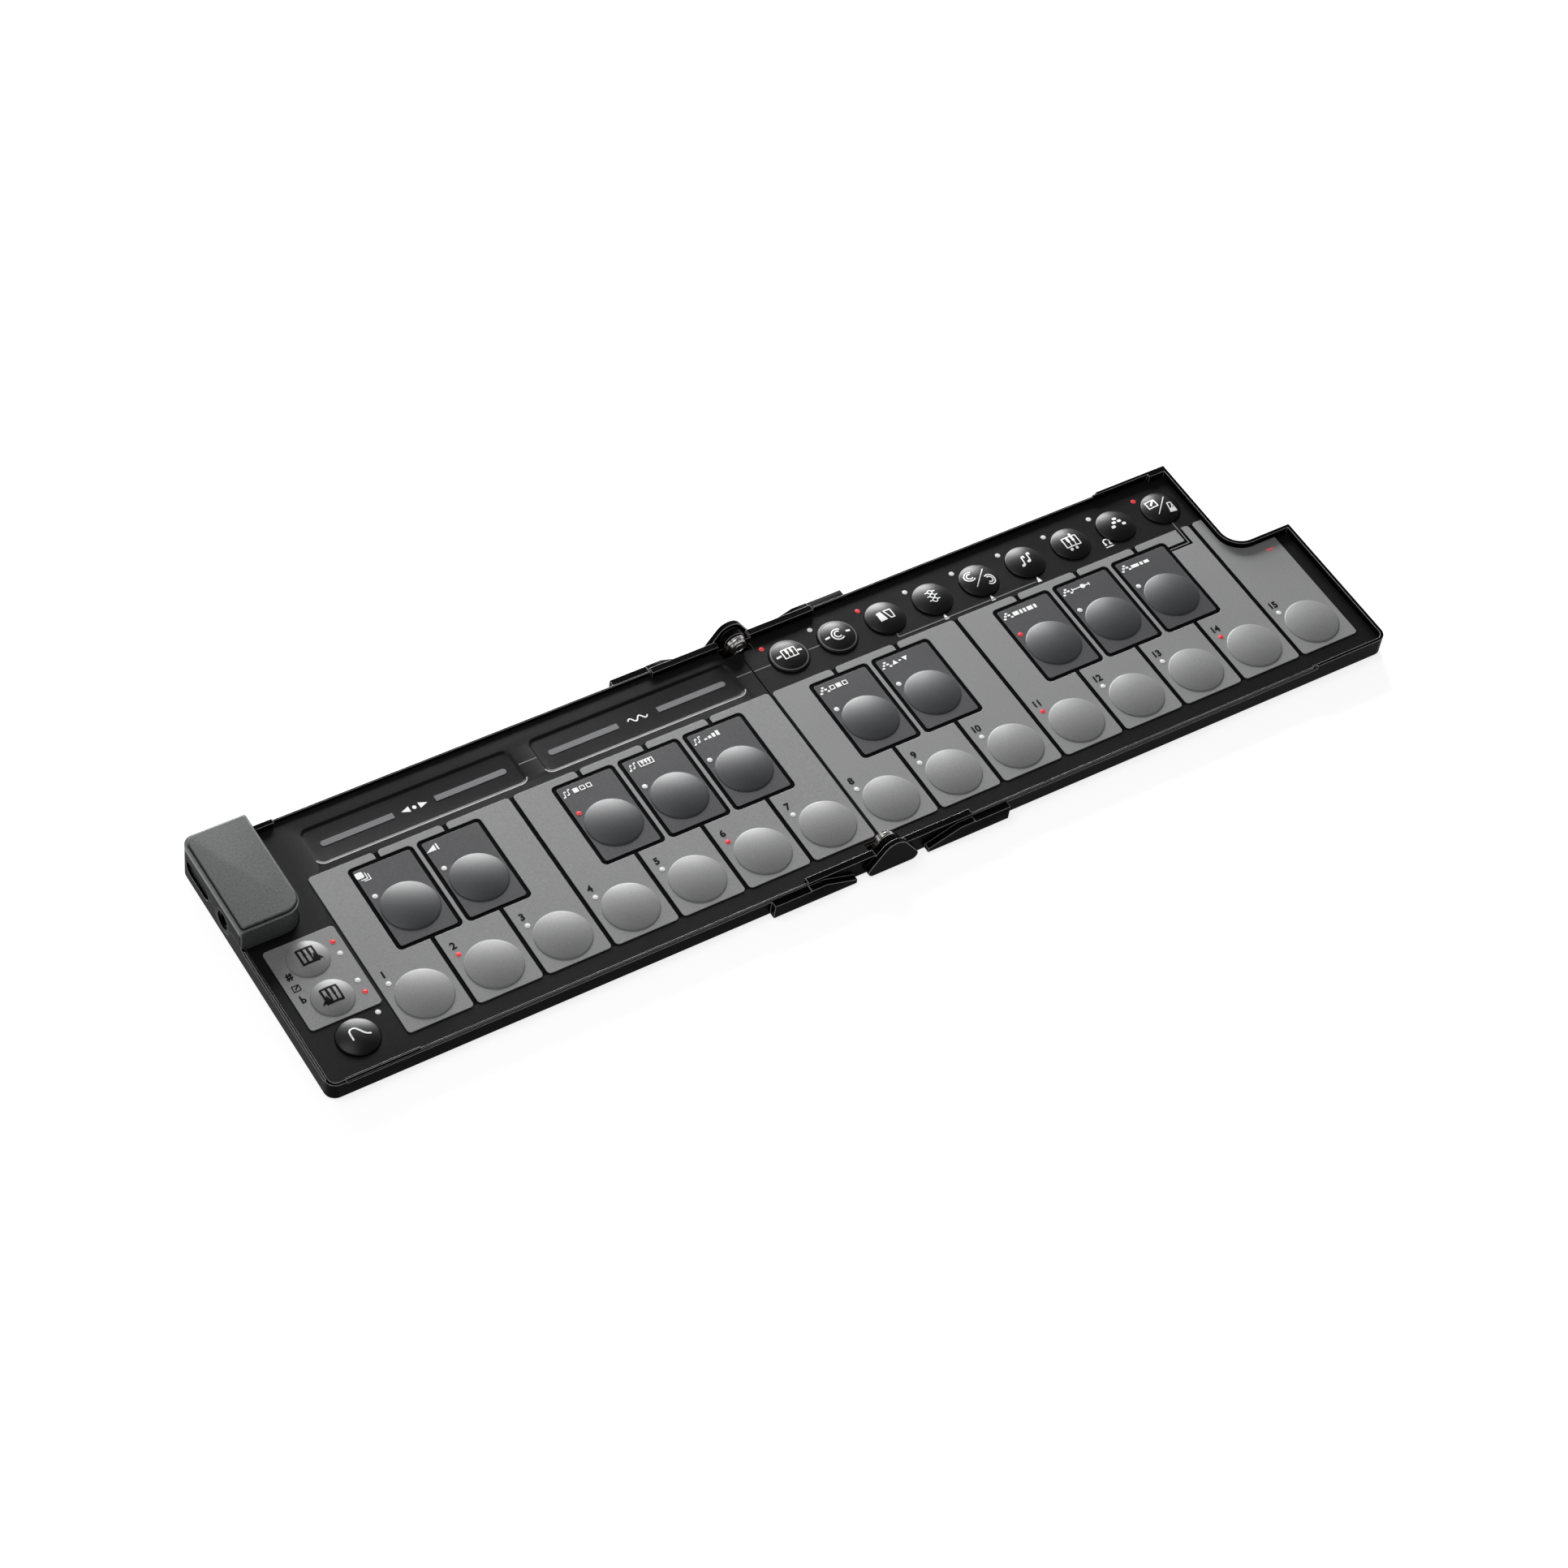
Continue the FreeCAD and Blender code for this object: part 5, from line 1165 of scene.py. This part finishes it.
strip_floor = node_box("touch_bars")[0][2]
bars_low, bars_high = node_box("touch_bars")
BAR_INSET = 3.9
STRIP_GAP = 6.0
STRIP_WIDTH = 13.3
STRIP_CORNER = 2.6
strip_span = (bars_high[0] - bars_low[0] + BAR_INSET * 2 - STRIP_GAP) / 2


def front_lip(middle, width):
    """A thin light line painted along the front of a strip recess, a painted highlight on its edge:
    two arcs joined by a straight.
    """
    half, deep = strip_span / 2 + width / 2, STRIP_WIDTH / 2 + width / 2
    turn = np.radians(np.linspace(196, 270, 12))
    arc = STRIP_CORNER * np.stack([np.cos(turn), np.sin(turn)], axis=-1)
    corner = np.array([STRIP_CORNER - half, STRIP_CORNER - deep])
    left_part = corner + arc
    right_part = left_part[::-1] * [-1, 1]
    front = np.stack([np.linspace(corner[0] + 0.5, -corner[0] - 0.5, 90), np.full(90, -deep)],
                     axis=-1)
    return [strip(np.vstack([left_part, front, right_part]) + [middle, STRIP_ROW], width)]


for index, marks in enumerate((centred_wedges(), wave_mark(6.4, 0.75, 0.42))):
    middle = bars_low[0] - BAR_INSET + strip_span / 2 + index * (strip_span + STRIP_GAP)
    # Each recess gets a light line on its front edge, a painted highlight, and its white marks.
    print_piece("recess_lip_%d" % (index + 1), front_lip(middle, 0.26), recess_highlight_finish, LEFT,
                sheet_top[LEFT])
    print_piece("touch_strip_marks_%d" % (index + 1), shifted(marks, (middle, STRIP_ROW)),
                white_ink, LEFT, strip_floor)


# painted shade line round the raised top of the port housing

TOP_STEP = 0.5
TOP_BORDER = 1.1
LINE_WIDTH = 0.34


def parting_line():
    """A dark line painted at the foot of the raised top, the shade in the step, from its back left
    round to its right side.

    Straight runs joined by quarter circles, all half a line outside the raised top.
    """
    low, high = node_box("port_housing")
    near_x, near_y = low[0] + TOP_BORDER - LINE_WIDTH / 2, low[1] + TOP_BORDER - LINE_WIDTH / 2
    far_x = high[0] - 0.3 + 0.05
    small, big = 0.7 + LINE_WIDTH / 2, 5.0 + LINE_WIDTH / 2
    turn = np.linspace(0, math.pi / 2, 13)
    down = np.stack([np.full(40, near_x), np.linspace(high[1] - 2.9, near_y + small, 40)], axis=-1)
    corner = np.stack([near_x + small - small * np.cos(turn), near_y + small - small * np.sin(turn)],
                      axis=-1)
    run = np.linspace(near_x + small, far_x - big, 20)
    along = np.stack([run, np.full(20, near_y)], axis=-1)
    bend = np.stack([far_x - big + big * np.sin(turn), near_y + big - big * np.cos(turn)], axis=-1)
    path = np.vstack([down, corner[1:], along[1:], bend[1:]])
    print_piece("housing_step_shade_line", [strip(path, LINE_WIDTH)], step_shade_black, LEFT,
                high[2] - TOP_STEP)


parting_line()
hinge_leaves()
hinge_pins()


# indicator windows

LAMP_RADIUS = 0.8
LAMP_RISE = 0.16
RED_LIGHT_KEYS = (2, 6, 11, 14)
RED_DARK_KEYS = (3, 8)
RED_FUNCTIONS = (1, 3, 9)
DARK_LAMP = (-7.2, 7.2)
FUNCTION_LAMP = (-5.85, 6.1)
SHIFT_LAMP_X = -153.65


def lamp_pieces(side, body_half, spots, lit):
    """Low round windows: one turned lens copied to every spot."""
    section = np.array([(0, -0.05), (1, -0.05), (1, 0.04), (0.93, 0.085), (0.80, 0.09), (0.70, 0.05),
                        (0.62, 0.06), (0.50, 0.115), (0.28, 0.145), (0, LAMP_RISE)])
    lens, lens_faces = turned_arrays(section * [LAMP_RADIUS, 1.0], 28)
    reach = np.hypot(lens[:, 0], lens[:, 1]) / LAMP_RADIUS
    for colour, material in (("unlit", white_window_painted_glow), ("lit", red_lamp)):
        chosen = [spot for spot, is_lit in zip(spots, lit) if is_lit == (colour == "lit")]
        points = (lens[None, :, :] + np.array(chosen)[:, None, :]).reshape(-1, 3)
        shift = np.arange(len(chosen)) * len(lens)
        faces = [[index + start for index in face] for start in shift for face in lens_faces]
        hides = (side + "_lamps",) if colour == "unlit" else ()
        piece = new_piece("%s_%s_windows" % (side, colour), points, faces, material,
                          body_half, hides)
        layer = piece.data.attributes.new("reach", "FLOAT", "POINT")
        layer.data.foreach_set("value", np.tile(reach, len(chosen)))


for body_half in (LEFT, RIGHT):
    side = body_half.split("_")[0]
    spots = []
    lit = []
    for number in range(1, LIGHT_KEYS + 1):
        if key_half(number, LEFT_LIGHT_KEYS) == body_half:
            x = node_middle("light_key_%d" % number)[0] + LAMP_FROM_KEY
            spots.append((x, LAMP_ROW, face_top[body_half]))
            lit.append(number in RED_LIGHT_KEYS)
    for number in range(1, DARK_KEYS + 1):
        if key_half(number, LEFT_DARK_KEYS) == body_half:
            x, y = node_middle("dark_key_%d" % number)
            spots.append((x + DARK_LAMP[0], y + DARK_LAMP[1], face_top[body_half]))
            lit.append(number in RED_DARK_KEYS)
    if body_half == RIGHT:
        for number in range(1, FUNCTION_BUTTONS + 1):
            x, y = node_middle("function_button_%d" % number)
            spots.append((x + FUNCTION_LAMP[0], y + FUNCTION_LAMP[1], sheet_top[RIGHT]))
            lit.append(number in RED_FUNCTIONS)
    else:
        for name, pair in zip(SHIFT_BUTTONS, ((True, False), (False, True))):
            y = node_middle(name)[1]
            for offset, is_lit in zip((2.15, -2.15), pair):
                spots.append((SHIFT_LAMP_X, y + offset, face_top[LEFT]))
                lit.append(is_lit)
        spots.append((SHIFT_LAMP_X, node_middle("curve_button")[1] + 5.0, sheet_top[LEFT]))
        lit.append(False)
    lamp_pieces(side, body_half, spots, lit)


# camera, floor and light

CAMERA_PLACE = (-0.4746, -0.5830, 0.8956)
CAMERA_RIGHT = (0.84738, -0.52099, 0.10260)
CAMERA_DOWN = (-0.35064, -0.69413, -0.62868)
CAMERA_AHEAD = (0.39875, 0.49675, -0.77087)
LENS = 93.22
SENSOR = 36.0


def photo_camera():
    """The photograph's camera: its axes as columns of a turn, then its place."""
    data = bpy.data.cameras.new("photo_camera")
    data.lens = LENS
    data.sensor_width = SENSOR
    data.sensor_fit = "HORIZONTAL"
    data.clip_start = 0.01
    data.clip_end = 50
    camera = bpy.data.objects.new("photo_camera", data)
    bpy.context.scene.collection.objects.link(camera)
    right, up, back = Vector(CAMERA_RIGHT), -Vector(CAMERA_DOWN), -Vector(CAMERA_AHEAD)
    turn = Matrix((right, up, back)).transposed().to_4x4()
    camera.matrix_world = Matrix.Translation(CAMERA_PLACE) @ turn
    bpy.context.scene.camera = camera


def soft_box(name, place, aim, size, watts, tone):
    """A square area lamp aimed at a point."""
    data = bpy.data.lights.new(name, "AREA")
    data.shape = "RECTANGLE"
    data.size, data.size_y = size
    data.energy = watts
    data.color = tone
    lamp = bpy.data.objects.new(name, data)
    bpy.context.scene.collection.objects.link(lamp)
    ahead = (Vector(aim) - Vector(place)).normalized()
    lamp.matrix_world = Matrix.Translation(place) @ ahead.to_track_quat("-Z", "Y").to_matrix().to_4x4()
    return lamp


def white_world():
    """A room with a pale backdrop: white to the eye and to gloss near the floor, dim above."""
    world = bpy.data.worlds.new("studio")
    bpy.context.scene.world = world
    world.use_nodes = True
    tree = world.node_tree
    background = tree.nodes["Background"]
    background.inputs["Color"].default_value = (1, 1, 1, 1)
    path = tree.nodes.new("ShaderNodeLightPath")
    seen = math_node(tree, "MAXIMUM", path.outputs["Is Camera Ray"],
                     path.outputs["Is Transmission Ray"])
    place = tree.nodes.new("ShaderNodeTexCoord").outputs["Generated"]
    parts = tree.nodes.new("ShaderNodeSeparateXYZ")
    link(tree, place, parts.inputs[0])
    rise = tree.nodes.new("ShaderNodeMapRange")
    rise.interpolation_type = "SMOOTHSTEP"
    rise.inputs["From Min"].default_value = BACKDROP_TOP[0]
    rise.inputs["From Max"].default_value = BACKDROP_TOP[1]
    rise.inputs["To Min"].default_value = 1.0
    rise.inputs["To Max"].default_value = ROOM_SHINE
    link(tree, parts.outputs["Z"], rise.inputs["Value"])
    shine = math_node(tree, "MULTIPLY", path.outputs["Is Glossy Ray"], rise.outputs[0])
    strength = math_node(tree, "MAXIMUM", seen, shine)
    strength = math_node(tree, "MAXIMUM", strength, ROOM_LIGHT)
    link(tree, strength, background.inputs["Strength"])


def pale_floor():
    """A wide floor that stays white to the camera and keeps a soft shadow."""
    size = 6.0
    mesh = bpy.data.meshes.new("floor")
    mesh.from_pydata([(-size, -size, 0), (size, -size, 0), (size, size, 0), (-size, size, 0)], [],
                     [(0, 1, 2, 3)])
    material = bpy.data.materials.new("white_floor")
    material.use_nodes = True
    tree = material.node_tree
    tree.nodes.remove(tree.nodes["Principled BSDF"])
    leave = tree.nodes["Material Output"]
    matt = tree.nodes.new("ShaderNodeBsdfDiffuse")
    matt.inputs["Color"].default_value = (0.40, 0.40, 0.40, 1)
    glow = tree.nodes.new("ShaderNodeEmission")
    path = tree.nodes.new("ShaderNodeLightPath")
    seen = math_node(tree, "MAXIMUM", path.outputs["Is Camera Ray"],
                     path.outputs["Is Transmission Ray"])
    seen = math_node(tree, "MAXIMUM", seen, path.outputs["Is Glossy Ray"])
    strength = math_node(tree, "MULTIPLY", seen, FLOOR_GLOW)
    link(tree, strength, glow.inputs["Strength"])
    both = tree.nodes.new("ShaderNodeAddShader")
    link(tree, matt.outputs[0], both.inputs[0])
    link(tree, glow.outputs[0], both.inputs[1])
    link(tree, both.outputs[0], leave.inputs["Surface"])
    mesh.materials.append(material)
    floor = bpy.data.objects.new("floor", mesh)
    bpy.context.scene.collection.objects.link(floor)


ROOM_LIGHT = 0.14
ROOM_SHINE = 0.06
BACKDROP_TOP = (0.10, 0.42)
FLOOR_GLOW = 0.80

photo_camera()
white_world()
pale_floor()
WHITE_LIGHT = (1.0, 1.0, 1.0)
soft_box("back_window", (0.24, 0.70, 0.30), (0, 0, 0), (0.50, 0.20), 10.5, WHITE_LIGHT)
soft_box("horizon_window", (0.10, 1.15, 0.18), (0, 0, 0), (1.5, 0.14), 13.0, WHITE_LIGHT)
soft_box("top_window", (-0.50, 0.20, 1.20), (0, 0, 0), (0.6, 0.6), 5.0, WHITE_LIGHT)
soft_box("front_window", (-0.20, -1.15, 0.60), (0, 0, 0), (0.7, 0.35), 1.6, WHITE_LIGHT)

bpy.context.scene.view_settings.view_transform = "Standard"

low, high = cad_box
